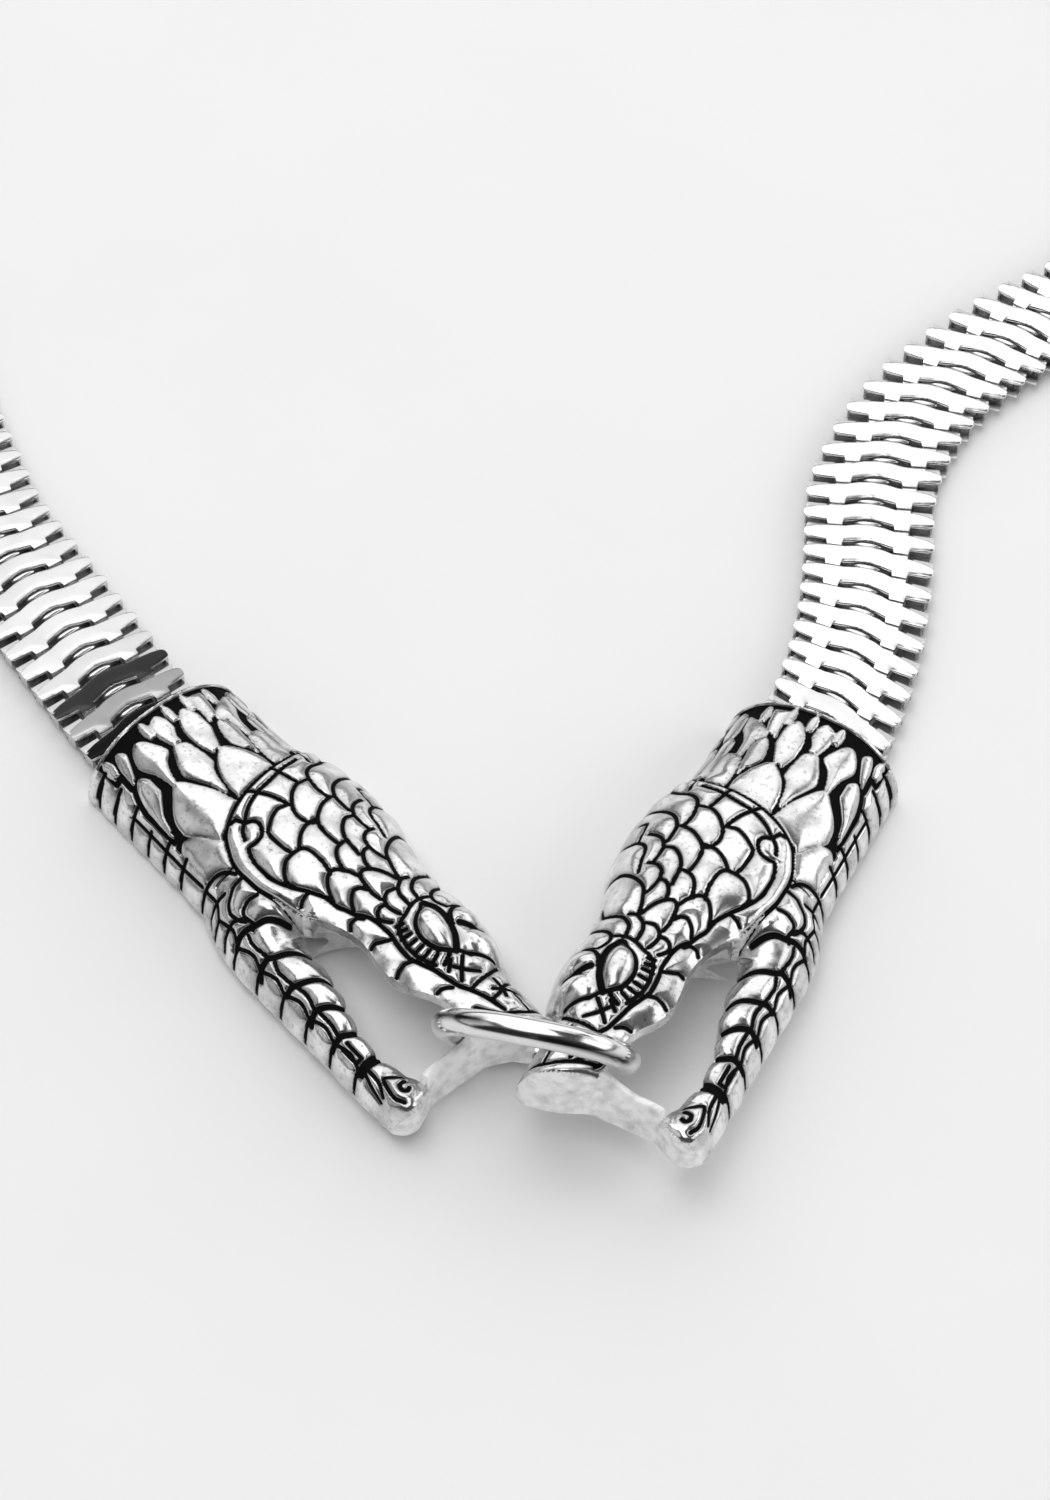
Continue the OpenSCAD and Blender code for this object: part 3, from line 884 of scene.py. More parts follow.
# Scales and belly bands of the lower jaw
JAW_LINES = (
    ((19.6, -9.2), (19.8, -8.2), (20.6, -7.2), (21.8, -6.7)),
    ((22.7, -6.7), (22.6, -7.6), (23, -8.4), (23.6, -9.2), (24.6, -9.6), (25.8, -9.5), (26.6, -9.2)),
    ((25.5, -6.8), (25.2, -7.7), (25.5, -8.7), (26.2, -9), (27.3, -8.9), (27.9, -9.3)),
    ((22.2, -8.6), (21.9, -9.4), (22, -10.4), (22.6, -10.9)),
    ((25.9, -9.3), (25.2, -10.1), (25.3, -11), (25.8, -11.7)),
    ((27.8, -9.9), (29, -10.2), (31.5, -10)),
    ((32.2, -9.9), (33.5, -10.3), (35.5, -10.2)),
    ((36.2, -10.1), (37.5, -10), (39.5, -10.5)),
    ((40, -10.3), (41.5, -10.3), (43.5, -10.6)),
    ((44.6, -10.4), (46.9, -10.4), (46.9, -11.1), (44.6, -11.1)),
    ((48.4, -10.8), (50, -10.9), (51.5, -11.5)),
    ((48.3, -11.2), (50, -11.6), (51.5, -11.8)),
    ((53.8, -10.5), (52.7, -10.9), (51.2, -10.7), (50.3, -10.3), (51, -9.4), (51.5, -8.4)),
    ((51.9, -9), (52, -9.7), (52.6, -9.9), (53, -9.5), (52.8, -9.1)),
)
JAW_BANDS = (
    ((29.9, -6), (29, -6.9), (28.2, -7.9), (27.7, -9), (27.2, -9.7), (27, -10.4), (27.4, -11.3)),
    ((34, -6.3), (33, -7.2), (32.3, -8.4), (31.8, -9.6), (31.3, -10.2), (31.4, -11), (32, -11.7)),
    ((38.5, -6.8), (37.3, -7.5), (36.6, -8.6), (36, -9.9), (35.6, -10.6), (35.7, -11.2)),
    ((41.4, -7.8), (40.8, -8.6), (40.1, -9.5), (39.6, -10.6), (40, -11.5)),
    ((44.2, -8.7), (44, -9.6), (43.6, -10.6), (43.6, -11.7)),
    ((47.5, -8.8), (47.7, -11.6)),
    ((48.1, -8.8), (48.1, -11.5)),
)
# Outer edge strip of the neck
NECK_LINES = (
    ((7, -9.2), (13, -9.2), (19, -9.2)),
    ((1.2, -8.4), (1.2, -9.8)), ((4, -8.4), (4.2, -9.8)), ((7, -8.4), (7.2, -9.8)),
    ((12.7, -8.4), (12.9, -9.8)), ((15.6, -8.6), (15.8, -9.8)), ((19.6, -8.8), (19.8, -9.9)),
)
# Where the plates of the outer side part, from the neck to the tip of the jaw
OUTER_TICKS = (1.6, 4.4, 7.3, 10.2, 13.0, 15.9, 19.8, 23.6, 27.6, 31.6, 35.6, 39.6, 43.6, 47.6)
# The line between two plates: [x, y] from its place on the outer edge
TICK = ((-0.2, 1.0), (0.0, 0.3), (0.1, 0.03))


@dataclass(frozen=True)
class Leaf:
    """Pointed scale of the neck: its point, and its two edges from the point to where they go under."""

    tip: tuple[float, float]
    inner: tuple[tuple[float, float], ...]
    outer: tuple[tuple[float, float], ...]

    def outline(self) -> tuple[tuple[float, float], ...]:
        """Closed outline of the leaf."""
        return (self.tip, *self.inner, *reversed(self.outer))

    def edge(self) -> tuple[tuple[float, float], ...]:
        """The edge that shows, from one root round the point to the other."""
        return (*reversed(self.inner), self.tip, *self.outer)


LEAVES = (
    Leaf((8.9, 1.7), ((10, 2.9), (11.3, 3.7), (12.7, 4.1), (14.2, 4.2)),
         ((9.8, 0.6), (11, -0.2), (13, -0.8), (15.4, -0.95))),
    Leaf((9.1, -4.7), ((9.6, -4.2), (11, -3.4), (13, -2.4), (15.7, -1.6)),
         ((10.3, -5.9), (11.5, -6.8), (12.5, -7.2), (13.7, -7.3), (14.5, -7), (15.5, -6.3), (17.5, -5.3))),
    Leaf((14.4, -7.9), ((14.9, -7.2), (15.8, -6.6), (17, -6), (18.3, -5.3)),
         ((15, -8.5), (18, -8.6), (20.5, -8.8), (20.6, -6.4))),
    Leaf((8.3, 6.8), ((9.2, 7.1), (12.2, 7.1), (13.6, 7.2)), ((9, 5.3), (10.9, 5), (13.4, 4.9), (14, 5.2))),
    Leaf((2, 1.6), ((2.6, 2.2), (4, 2.5), (5.4, 2.5), (7, 2), (8.8, 1.4)),
         ((3, 0.7), (4.2, 0.2), (5.4, 0), (7, 0.1), (8.8, 0.6))),
    Leaf((5.5, -1.9), ((6, -0.9), (7.2, -0.6), (9.6, -0.3), (10.5, -0.9), (12, -1.3), (13.6, -1.5)),
         ((6.6, -2.6), (8, -3.2), (9, -3.4), (10.3, -2.9), (12, -2.1), (13.8, -1.6))),
    Leaf((1, -1.3), ((2, -0.7), (3, -0.6), (4.3, -1.1), (5.2, -1.2)),
         ((2, -2.5), (3.3, -2.4), (5.3, -1.9))),
    Leaf((2.1, -4.7), ((2.3, -4.3), (3.5, -3.6), (5.2, -3), (6.3, -3.9), (7.5, -4.4), (8.8, -4.7)),
         ((3.2, -5.7), (4.4, -6), (5.5, -5.7), (6.5, -5.3), (9, -4.9))),
    Leaf((5.4, -6.9), ((6.5, -6.3), (8, -6.3), (9.3, -7), (10.5, -7.7), (12, -8)),
         ((7, -7.8), (9, -8.1), (12.7, -8.2))),
    Leaf((1.2, -6.7), ((2, -6.2), (3, -6.5), (4.6, -7.1)), ((3, -7.3), (5, -7.4))),
    Leaf((5.5, 4), ((7, 4.8), (9, 4.7), (11.4, 4.4)), ((7, 3.2), (8.5, 3), (10, 3.7))),
    Leaf((1, 3.9), ((1, 4.7), (2.5, 4.6), (4.6, 4.1)), ((1, 3), (2.2, 3.3), (3.5, 3.2), (5, 3.1))),
    Leaf((2.2, 7), ((4, 6.9), (5, 6.4), (6.5, 5.9), (8.4, 5.8)),
         ((3.3, 5.5), (4.3, 4.5), (5, 4.1), (5.8, 5), (7, 5.2), (8.5, 5.4))),
    Leaf((5.6, 7.7), ((6.4, 8.2), (8.5, 8.3), (12.5, 8.9)), ((6.6, 7.1), (8.4, 7.3), (12.6, 7.4))),
    Leaf((1.2, 8.1), ((2.4, 8.6), (4.4, 8.7), (5.6, 8.4)), ((2.4, 7.4), (4, 7.4), (5.4, 7.7))),
    Leaf((6.2, 9.1), ((7.4, 9.5), (10, 9.6), (12, 9.7)), ((7.4, 8.7), (9.8, 8.8), (12.2, 9.2))),
    # Short points that fill the gaps along the rim
    *(
        Leaf((x, y), ((x + 0.4, y + 0.25), (x + 1.2, y + 0.38), (x + 2.3, y + 0.2)),
             ((x + 0.4, y - 0.22), (x + 1.2, y - 0.36), (x + 2.3, y - 0.2)))
        for x, y in ((0.5, -3.0), (0.4, 0.2), (0.35, 2.7), (0.5, 5.5), (0.5, 9.1), (0.4, -8.0))
    ),
)


@dataclass(frozen=True)
class Swell:
    """Rounded swelling of the face: middle, half its length and width, its turn and its height."""

    x: float
    y: float
    long: float
    wide: float
    turn: float
    rise: float
    fullness: float = 0.75

    def raise_at(self, x: Points, y: Points) -> Points:
        """Work out how far the swelling lifts the skin.

        Args:
            x: Places along the head.
            y: Places across it.

        Returns:
            The lift at each.
        """
        angle = math.radians(self.turn)
        along = (x - self.x) * math.cos(angle) + (y - self.y) * math.sin(angle)
        across = (y - self.y) * math.cos(angle) - (x - self.x) * math.sin(angle)
        near = np.clip(1 - (along / self.long) ** 2 - (across / self.wide) ** 2, 0, 1)
        return self.rise * near**self.fullness


SWELLS = (
    Swell(41.7, 3.6, 3.1, 1.5, -12, 0.75),
    Swell(41.4, 7.3, 2.0, 1.5, -20, 0.45),
    Swell(45.5, 6.4, 2.4, 1.6, -25, 0.5),
    Swell(50.9, 4.6, 2.2, 1.8, 0, 0.25),
    Swell(52.0, -9.6, 1.8, 1.4, 0, 0.35),
)


def inside(outline: Sequence[tuple[float, float]], x: Points, y: Points) -> Points:
    """Tell which places lie inside a closed outline.

    Args:
        outline: Its corners in order.
        x: First coordinates of the places.
        y: Second coordinates.

    Returns:
        True for each place inside.
    """
    found = np.zeros(x.shape, bool)
    before = outline[-1]
    for corner in outline:
        if corner[1] != before[1]:
            crosses = (corner[1] > y) != (before[1] > y)
            at = (before[0] - corner[0]) * (y - corner[1]) / (before[1] - corner[1]) + corner[0]
            found ^= crosses & (x < at)
        before = corner
    return found


@dataclass
class Relief:
    """Engraved lines, pillowed scales and leaves, as a lift along the skin's normal and two masks."""

    skin: Skin
    spacing: float = 0.05
    far: float = 9.0
    # Scales: how far they swell from their lines, within what reach, and how roundly
    pillow: float = 0.26
    reach: float = 0.75
    roundness: float = 1.4
    # Trough of an engraved line and its black, in half widths of the line
    trough: Step = Step(0.0, 1.9)
    soot: Step = Step(0.75, 0.9)
    # The hood stands proud of the neck
    hood_rise: float = 0.3
    hood_slope: Step = Step(0.0, 0.5)
    # Plates of the outer side: where their top lines start, their ends and the rise of their middle
    plates_from: float = 18.0
    plate_end: tuple[float, float] = (-0.2, 0.95)
    plate_rise: float = 1.35
    # Neck: where it, its outer side and its leaves end, and its plain rim
    neck_end: float = 21.0
    neck_side: float = -8.6
    leaves_end: float = 21.5
    rim_end: float = 0.25
    rim_rise: float = 0.1
    # Cracks between the leaves, by the distance from the nearest leaf
    crack_opens: Step = Step(0.15, 0.13)
    crack_closes: Step = Step(0.8, 0.3)
    crack_rim: Step = Step(2.0, 1.5)
    crack_middle: float = 0.5
    crack_edges: tuple[float, float] = (0.34, 0.85)
    crack_depth: float = 0.9
    # Shade beside a line: reach and depth on the neck and elsewhere
    shade_reach: tuple[float, float] = (0.5, 0.32)
    shade_depth: tuple[float, float] = (0.75, 0.62)
    # The relief fades out toward the table, and its black fades nearer to it
    foot: Step = Step(0.0, 0.6)
    foot_black: float = 2.0

    def trace(self, points: Sequence[tuple[float, float]]) -> Points:
        """Run a rounded line through points, laid on the skin.

        Args:
            points: Places in x and y.

        Returns:
            Close points on the skin, three columns.
        """
        flat = np.asarray(points, float)
        run = np.concatenate([[0.0], np.cumsum(np.hypot(*np.diff(flat, axis=0).T))])
        at = np.linspace(0, run[-1], max(3, int(run[-1] / self.spacing)))
        if len(flat) > 2:
            x, y = (Curve(run, flat[:, axis])(at) for axis in (0, 1))
        else:
            x, y = (np.interp(at, run, flat[:, axis]) for axis in (0, 1))
        return np.stack([x, y, self.skin.height(x, y)], axis=-1)

    def away(self, lines: Sequence[Sequence[tuple[float, float]]], places: Points) -> Points:
        """Measure the distance to the nearest of some lines.

        Args:
            lines: Points of each line in x and y.
            places: Points on the skin, three columns.

        Returns:
            The distance of each place.
        """
        close = np.concatenate([self.trace(line) for line in lines])
        tree = kdtree.KDTree(len(close))
        for number, point in enumerate(close):
            tree.insert(point, number)
        tree.balance()
        return np.array([tree.find(place)[2] for place in places])

    def ticks(self) -> list[tuple[tuple[float, float], ...]]:
        """Draw the lines between the plates of the outer side, and along the top of the jaw's plates.

        Returns:
            Points of each line.
        """
        ends = [(x, float(self.skin.outer(x))) for x in OUTER_TICKS]
        found = [tuple((x + ahead, edge + up) for ahead, up in TICK) for x, edge in ends]
        ahead, up = self.plate_end
        for (x, edge), (after, far) in zip(ends, ends[1:]):
            if x > self.plates_from:
                middle = ((x + after) / 2, (edge + far) / 2 + self.plate_rise)
                found.append(((x + ahead, edge + up), middle, (after + ahead, far + up)))
        return found

    def beyond_leaves(self, places: Points) -> Points:
        """Measure the distance outside the nearest leaf.

        Args:
            places: Points on the skin, three columns.

        Returns:
            The distance of each place, negative inside a leaf.
        """
        found = np.full(len(places), self.far)
        near = places[:, 0] < self.leaves_end
        for leaf in LEAVES:
            gap = self.away((leaf.edge(),), places[near])
            held = inside(leaf.outline(), places[near, 0], places[near, 1])
            found[near] = np.minimum(found[near], np.where(held, -gap, gap))
        return found

    def engrave(self, places: Points) -> tuple[Points, Points, Points]:
        """Cut the engraved lines.

        Args:
            places: Points on the skin, three columns.

        Returns:
            Lift along the normal, how black the recess is, and the distance to the nearest line's edge.
        """
        fine = (*HOOD_LINES, *LIP_LINES, *EYE_LINES, *JAW_LINES, *NECK_LINES, *self.ticks())
        groups = (
            (fine, MAIN, SHALLOW),
            ((LIP_GROOVE, *HOOD_GROOVES, *LASHES), MAIN, DEEP),
            ((*JAW_BANDS, BROW_WEDGE, EYE_CREASE), WIDE, DEEP),
            ((HOOD_EDGE,), MAIN, SHALLOW),
        )
        lift = np.zeros(len(places))
        black = np.zeros(len(places))
        nearest = np.full(len(places), self.far)
        for lines, half, depth in groups:
            gap = self.away(lines, places)
            nearest = np.minimum(nearest, np.maximum(gap - half, 0))
            lift = np.minimum(lift, -depth * (1 - self.trough(gap / half)))
            black = np.maximum(black, 1 - self.soot(gap / half))
        return lift, black, nearest

    def work(self, places: Points) -> tuple[Points, Points, Points]:
        """Work out the relief.

        Args:
            places: Points on the skin, three columns.

        Returns:
            Lift along the normal, how black the recess is, and how shaded its edges are.
        """
        x, y = places[:, 0], places[:, 1]
        lift, black, nearest = self.engrave(places)
        neck = ~inside((*HOOD_EDGE, *NECK_CORNERS), x, y) & (x < self.neck_end) & (y > self.neck_side)
        beyond = self.beyond_leaves(places)
        wide = np.maximum(1 - self.crack_closes(beyond), 1 - self.crack_rim(x))
        crack = np.where(neck, self.crack_opens(beyond) * wide, 0.0)
        inner, outer = self.crack_edges
        away = np.where(beyond < self.crack_middle, inner - beyond, beyond - outer)
        nearest = np.where(neck, np.minimum(nearest, np.maximum(away, 0)), nearest)
        lift = lift + self.pillow * (1 - np.exp(-((nearest / self.reach) ** self.roundness)))
        lift = lift - crack * self.pillow * self.crack_depth
        black = np.maximum(black, crack)
        hood = inside((*HOOD_EDGE, *HOOD_CORNERS), x, y)
        slope = self.hood_slope(self.away((HOOD_EDGE,), places))
        lift = lift + np.where(hood, self.hood_rise * slope, 0.0)
        for each in SWELLS:
            lift = lift + each.raise_at(x, y)
        lift[x < self.rim_end] = self.rim_rise
        black[x < self.rim_end] = 0
        shade = np.exp(-nearest / np.where(neck, *self.shade_reach)) * np.where(neck, *self.shade_depth)
        fade = self.foot(places[:, 2])
        return lift * fade, black * np.clip(fade * self.foot_black, 0, 1), shade


# Places, how black and how shaded they are, and whether they are plain cast metal
Patch = tuple[Points, Points, Points, float]


@dataclass
class Head:
    """One cast head: relief skin, mouth walls, flat front, bar, neck cup and underside."""

    stand: Stand
    ring: Ring
    rear: float = -0.2
    nose: float = 54.5
    warp_from: float = 46.0
    bar_from: float = 52.85
    # Spacing of the rows, and points across each part
    step: float = 0.15
    fine: int = 500
    lower_columns: int = 64
    upper_columns: int = 126
    bar_columns: int = 40
    rear_columns: int = 8
    wall_rows: int = 26
    lip_rows: int = 8
    # Behind the mouth: rows and columns that are evened out, and columns kept free of black
    even_rows: int = 11
    even_columns: int = 4
    even_past: tuple[float, float] = (1.0, 2.0)
    clean_columns: int = 2
    # Upper lip: its thickness, where it is full, and where the walls under it turn down
    lip_thick: float = 1.3
    lip_full: Step = Step(MOUTH, 1.0)
    wall_drop: Step = Step(0.35, 0.65)
    # Rounding into the flat front, more at the jaw's tip, and of the bar
    soft: float = 0.5
    soft_tip: float = 0.8
    soft_side: Step = Step(8.0, 1.5)
    soft_bar: float = 0.5
    # An edge nearer to the table than this stands on it
    grounded: float = 0.01
    # Hollow of the neck cup: half its width, its height and its depth
    cup_half: float = 8.5
    cup_high: float = 7.1
    cup_deep: float = 6.5
    # Edges sharper than this, in degrees, are shaded sharp
    crease: float = 55.0
    shapes: ClassVar[list[Patch] | None] = None

    def __post_init__(self) -> None:
        """Draw the skin that the head is built on."""
        self.skin = Skin()

    def section(self, x: float, start: float, end: float, count: int, upper: bool) -> Points:
        """Points along one section, evenly spaced on its curve.

        Args:
            x: Where the section is.
            start: First y.
            end: Last y.
            count: Number of points.
            upper: Whether it is the upper head's surface.

        Returns:
            The y and z of each point.
        """
        even = np.linspace(0, 1, self.fine)
        share = np.sin(even * math.pi / 2) if upper else 1 - np.cos(even * math.pi / 2)
        y = start + (end - start) * share
        z = (self.skin.upper if upper else self.skin.lower)(np.full(self.fine, x), y)
        run = np.concatenate([[0.0], np.cumsum(np.hypot(np.diff(y), np.diff(z)))])
        at = np.linspace(0, run[-1], count)
        return np.stack([np.interp(at, run, y), np.interp(at, run, z)], axis=-1)

    def patches(self) -> tuple[Points, Points, Points]:
        """Lay out the skin in two patches that part at the mouth.

        Returns:
            Nominal x of the rows, the lower patch and the upper patch.
        """
        rows = np.linspace(self.rear, self.nose, int((self.nose - self.rear) / self.step) + 1)
        lower, upper = [], []
        for x in rows:
            low_edge = self.skin.jaw_edge(x) if x > MOUTH else self.skin.split(x)
            high_edge = self.skin.lip(x) if x > MOUTH else self.skin.split(x)
            for store, start, end, count, top in (
                (lower, self.skin.outer(x), low_edge, self.lower_columns, False),
                (upper, high_edge, self.skin.inner(x), self.upper_columns, True),
            ):
                yz = self.section(float(x), float(start), float(end), count, top)
                store.append(np.column_stack([self.bent(np.full(count, x), yz[:, 0]), yz]))
        return rows, np.array(lower), np.array(upper)

    def bent(self, x: Points, y: Points) -> Points:
        """Bend the last rows so that the final one follows the flat front."""
        share = (self.skin.front(y) - self.warp_from) / (self.nose - self.warp_from)
        return np.where(x > self.warp_from, self.warp_from + (x - self.warp_from) * share, x)

    def carve(self, patch: Points) -> tuple[Points, Points, Points]:
        """Lift a patch by the relief.

        Args:
            patch: Its plain places.

        Returns:
            The places in relief, and the two masks.
        """
        along = np.gradient(patch, axis=0)
        across = np.gradient(patch, axis=1)
        normal = np.cross(along, across)
        normal /= np.maximum(np.linalg.norm(normal, axis=-1, keepdims=True), TINY)
        lift, black, shade = Relief(self.skin).work(patch.reshape(-1, 3))
        lifted = patch + normal * lift.reshape(patch.shape[:2])[..., None]
        lifted[..., 2] = np.maximum(lifted[..., 2], 0)
        lifted[[0, -1], :, 0] = patch[[0, -1], :, 0]
        lifted[..., 2] -= self.rounding(lifted)
        low = patch[:, [0, -1], 2] < self.grounded
        lifted[:, [0, -1], 2] = np.where(low, 0, lifted[:, [0, -1], 2])
        return lifted, black, shade

    def even_out(self, rows: Points, line: Points) -> None:
        """Even out a line of points along the parting behind the mouth, in place.

        Args:
            rows: Nominal x of the rows.
            line: One point a row.
        """
        kernel = np.ones(self.even_rows) / self.even_rows
        before, after = self.even_past
        near = np.flatnonzero((rows > self.skin.parting.start - before) & (rows < MOUTH + after))
        wide = np.arange(near[0] - self.even_rows // 2, near[-1] + self.even_rows // 2 + 1)
        for axis in (1, 2):
            line[near, axis] = np.convolve(line[wide, axis], kernel, mode="valid")

    def rounding(self, places: Points) -> Points:
        """Work out how far the skin falls as it rounds into the flat front.

        Args:
            places: Points of the skin, with the three columns last.

        Returns:
            The fall at each.
        """
        soft = self.soft + self.soft_tip * self.soft_side(-places[..., 1])
        left = np.clip(self.skin.front(places[..., 1]) - places[..., 0], 0, soft)
        fall = soft - np.sqrt(soft**2 - (soft - left) ** 2)
        return np.minimum(fall, places[..., 2])

    def drop(self, edge: Points, low: Points | float, count: int) -> Points:
        """Wall between an edge and the places straight below it.

        Args:
            edge: Points along the edge.
            low: Height of the wall's foot at each.
            count: Points down the wall.

        Returns:
            Rows along the edge, columns down the wall.
        """
        share = np.linspace(0, 1, count)[None, :, None]
        foot = edge.copy()
        foot[:, 2] = low
        return edge[:, None, :] * (1 - share) + foot[:, None, :] * share

    def start_wall(self, edge: Points) -> tuple[Points, Points, Points]:
        """Start a wall that goes in first and then down.

        Args:
            edge: Points along its edge.

        Returns:
            Copies of the edge, one for each row of the wall, and how far in and how high each row is.
        """
        share = np.linspace(0, 1, self.wall_rows)
        inwards = np.sin(np.minimum(share * 2, 1) * math.pi / 2)
        return np.repeat(edge[:, None, :], self.wall_rows, axis=1), inwards, 1 - self.wall_drop(share)

    def under_lip(self, rows: Points, edge: Points, middle: Points) -> Points:
        """Hollow under the upper lip: in from the lip's lower edge, then down to the table.

        Args:
            rows: Nominal x of the rows.
            edge: Points along the lip.
            middle: Height of the lip's lower edge at each.

        Returns:
            Rows along the lip, columns down the wall.
        """
        wall, inwards, high = self.start_wall(edge)
        wall[:, :, 1] += self.skin.hollow(rows)[:, None] * inwards
        wall[:, :, 0] -= self.skin.lip_back(rows)[:, None] * inwards
        wall[:, :, 2] = middle[:, None] * high
        return wall

    def beside_jaw(self, rows: Points, edge: Points) -> Points:
        """Inner wall of the jaw, which runs back under the cheek behind the mouth.

        Args:
            rows: Nominal x of the rows.
            edge: Points along the jaw.

        Returns:
            Rows along the jaw, columns down the wall.
        """
        wall, inwards, high = self.start_wall(edge)
        wall[:, :, 0] -= self.skin.jaw_back(rows)[:, None] * inwards
        wall[:, :, 2] *= high
        return wall

    def bar_top(self, rows: Points, low_edge: Points, high_edge: Points) -> Points:
        """Top of the bar between the jaw's tip and the snout.

        Args:
            rows: Nominal x of the rows.
            low_edge: Points along the jaw's tip.
            high_edge: Points along the snout.

        Returns:
            Rows along the head, columns across the bar.
        """
        top = []
        for x, low, high in zip(rows, low_edge, high_edge):
            y = np.linspace(low[1], high[1], self.bar_columns)
            line = Curve(
                [low[1], *(row[0] for row in BAR_TOP), high[1]],
                [low[2], *(row[1] for row in BAR_TOP), high[2]],
            )
            place = np.column_stack([self.bent(np.full(len(y), x), y), y, line(y)])
            across = 2 * (x - self.bar_from) / (self.nose - self.bar_from) - 1
            place[:, 2] -= self.rounding(place) + self.soft_bar * (1 - math.sqrt(1 - min(across**2, 1)))
            place[0], place[-1] = low, high
            top.append(place)
        return np.array(top)

    def cup_curve(self, x: float, count: int) -> Points:
        """Edge of the neck cup's hollow in one section."""
        share = np.sin(np.linspace(-1, 1, count) * math.pi / 2)
        return np.column_stack(
            [np.full(count, x), self.cup_half * share, self.cup_high * self.skin.dome(share)]
        )

    def build(self) -> bpy.types.Object:
        """Build the head and put it in its place.

        Returns:
            The head, with its masks stored on its corners.
        """
        if Head.shapes is None:
            Head.shapes = self.shape()
        pieces = []
        for number, (shape, black, shade, cast) in enumerate(Head.shapes):
            piece = Bench.sheet(f"patch_{number}", self.stand.place(self.clear_ring(shape)))
            Bench.keep_number(piece, "recess", black)
            Bench.keep_number(piece, "shade", shade)
            Bench.keep_number(piece, "cast", np.full(shape.shape[:2], cast))
            pieces.append(piece)
        head = Bench.join(pieces, f"snake_head_{self.stand.side.name.lower()}")
        Bench.heal(WELD)
        Bench.smooth(head, self.crease)
        return head

    def shape(self) -> list[Patch]:
        """Work out every patch of a head in its own drawn coordinates.

        Returns:
            The patches, the two of the skin first.
        """
        rows, lower, upper = self.patches()
        lower, *lower_masks = self.carve(lower)
        upper, *upper_masks = self.carve(upper)
        part = int(np.searchsorted(rows, self.skin.parting.start))
        mouth = int(np.searchsorted(rows, MOUTH))
        bar = int(np.searchsorted(rows, self.bar_from))
        for column in range(self.even_columns):
            self.even_out(rows, lower[:, -1 - column])
            self.even_out(rows, upper[:, column])
        upper_masks[0].reshape(upper.shape[:2])[part:mouth, : self.clean_columns] = 0
        upper[:part, 0] = lower[:part, -1]
        upper[part:mouth, 0, :2] = lower[part:mouth, -1, :2]
        top = self.bar_top(rows[bar:], lower[bar:, -1], upper[bar:, 0])
        low_edge, high_edge = lower[:, -1], upper[:, 0]
        past = self.lip_full(rows)
        middle = low_edge[:, 2] + past * (high_edge[:, 2] - self.lip_thick - low_edge[:, 2])
        beside = slice(mouth, bar + 1)
        behind = slice(part, mouth + 1)
        hidden = self.under_lip(rows, high_edge, middle)[beside]
        inner_jaw = self.beside_jaw(rows, low_edge)[beside]
        share = np.linspace(0, 1, self.rear_columns)[:, None, None]
        rear = inner_jaw[0][None] * (1 - share) + hidden[0][None] * share
        plain = [
            (top, 1.0),
            (self.drop(high_edge[behind], middle[behind], self.lip_rows), 1.0),
            (self.drop(high_edge[beside], middle[beside], self.lip_rows), 0.0),
            (hidden, 1.0),
            (inner_jaw, 0.0),
            (rear, 1.0),
        ]
        ends = (top[0], lower[-1], top[-1], upper[-1])
        plain += [(self.drop(edge, 0, self.wall_rows), 1.0) for edge in ends]
        plain += [(shape, 1.0) for shape in self.underside(rows, lower, upper, bar)]
        plain += [(shape, 1.0) for shape in self.cup(lower, upper)]
        skin: list[Patch] = [(lower, *lower_masks, 0.0), (upper, *upper_masks, 0.0)]
        return skin + [(shape, *np.zeros((2, *shape.shape[:2])), cast) for shape, cast in plain]

    def clear_ring(self, shape: Points) -> Points:
        """Keep the head's own points out of the ring.

        Args:
            shape: Drawn places of one patch.

        Returns:
            The places, moved where the ring's room needs it.
        """
        flat = shape.reshape(-1, 3)
        drawn = self.stand.place(flat) / UNIT + np.array([*LOOP_MIDDLE, 0.0])
        moved = self.ring.push_clear(drawn) - drawn
        lift, turn = math.radians(self.stand.lift), math.radians(self.stand.turn)
        back_x = moved[:, 0] * math.cos(turn) + moved[:, 1] * math.sin(turn)
        back_y = -moved[:, 0] * math.sin(turn) + moved[:, 1] * math.cos(turn)
        x = back_x * math.cos(lift) + moved[:, 2] * math.sin(lift)
        z = -back_x * math.sin(lift) + moved[:, 2] * math.cos(lift)
        own = np.column_stack([x, back_y * self.stand.side.value, z])
        return (flat + own).reshape(shape.shape)

    def underside(self, rows: Points, lower: Points, upper: Points, bar: int) -> list[Points]:
        """Flat underside, open under the neck cup and in the mouth.

        Args:
            rows: Nominal x of the rows.
            lower: The lower patch in relief.
            upper: The upper patch in relief.
            bar: First row of the bar.

        Returns:
            Its strips.
        """
        deep = int(np.searchsorted(rows, self.cup_deep))
        ground = np.array([1.0, 1.0, 0.0])
        cup = np.zeros((deep + 1, 3))
        cup[:, 0] = rows[: deep + 1]
        wall = np.array([0.0, self.cup_half, 0.0])
        in_cave = (rows > CAVE[0][0]) & (rows <= MOUTH)
        inner_foot, jaw_foot = upper[:, 0] * ground, lower[:, -1] * ground
        inner_foot[:, 1] += self.skin.hollow(rows) + np.where(in_cave, table_curve(CAVE, 2)(rows), 0)
        jaw_foot[:, 1] -= np.where(in_cave, table_curve(CAVE, 1)(rows), 0)
        sides = (
            (lower[: deep + 1, 0] * ground, cup - wall),
            (cup + wall, upper[: deep + 1, -1] * ground),
            (lower[deep:, 0] * ground, jaw_foot[deep:]),
            (inner_foot[deep:], upper[deep:, -1] * ground),
            (jaw_foot[bar:], inner_foot[bar:]),
        )
        return [np.stack(pair, axis=1) for pair in sides]

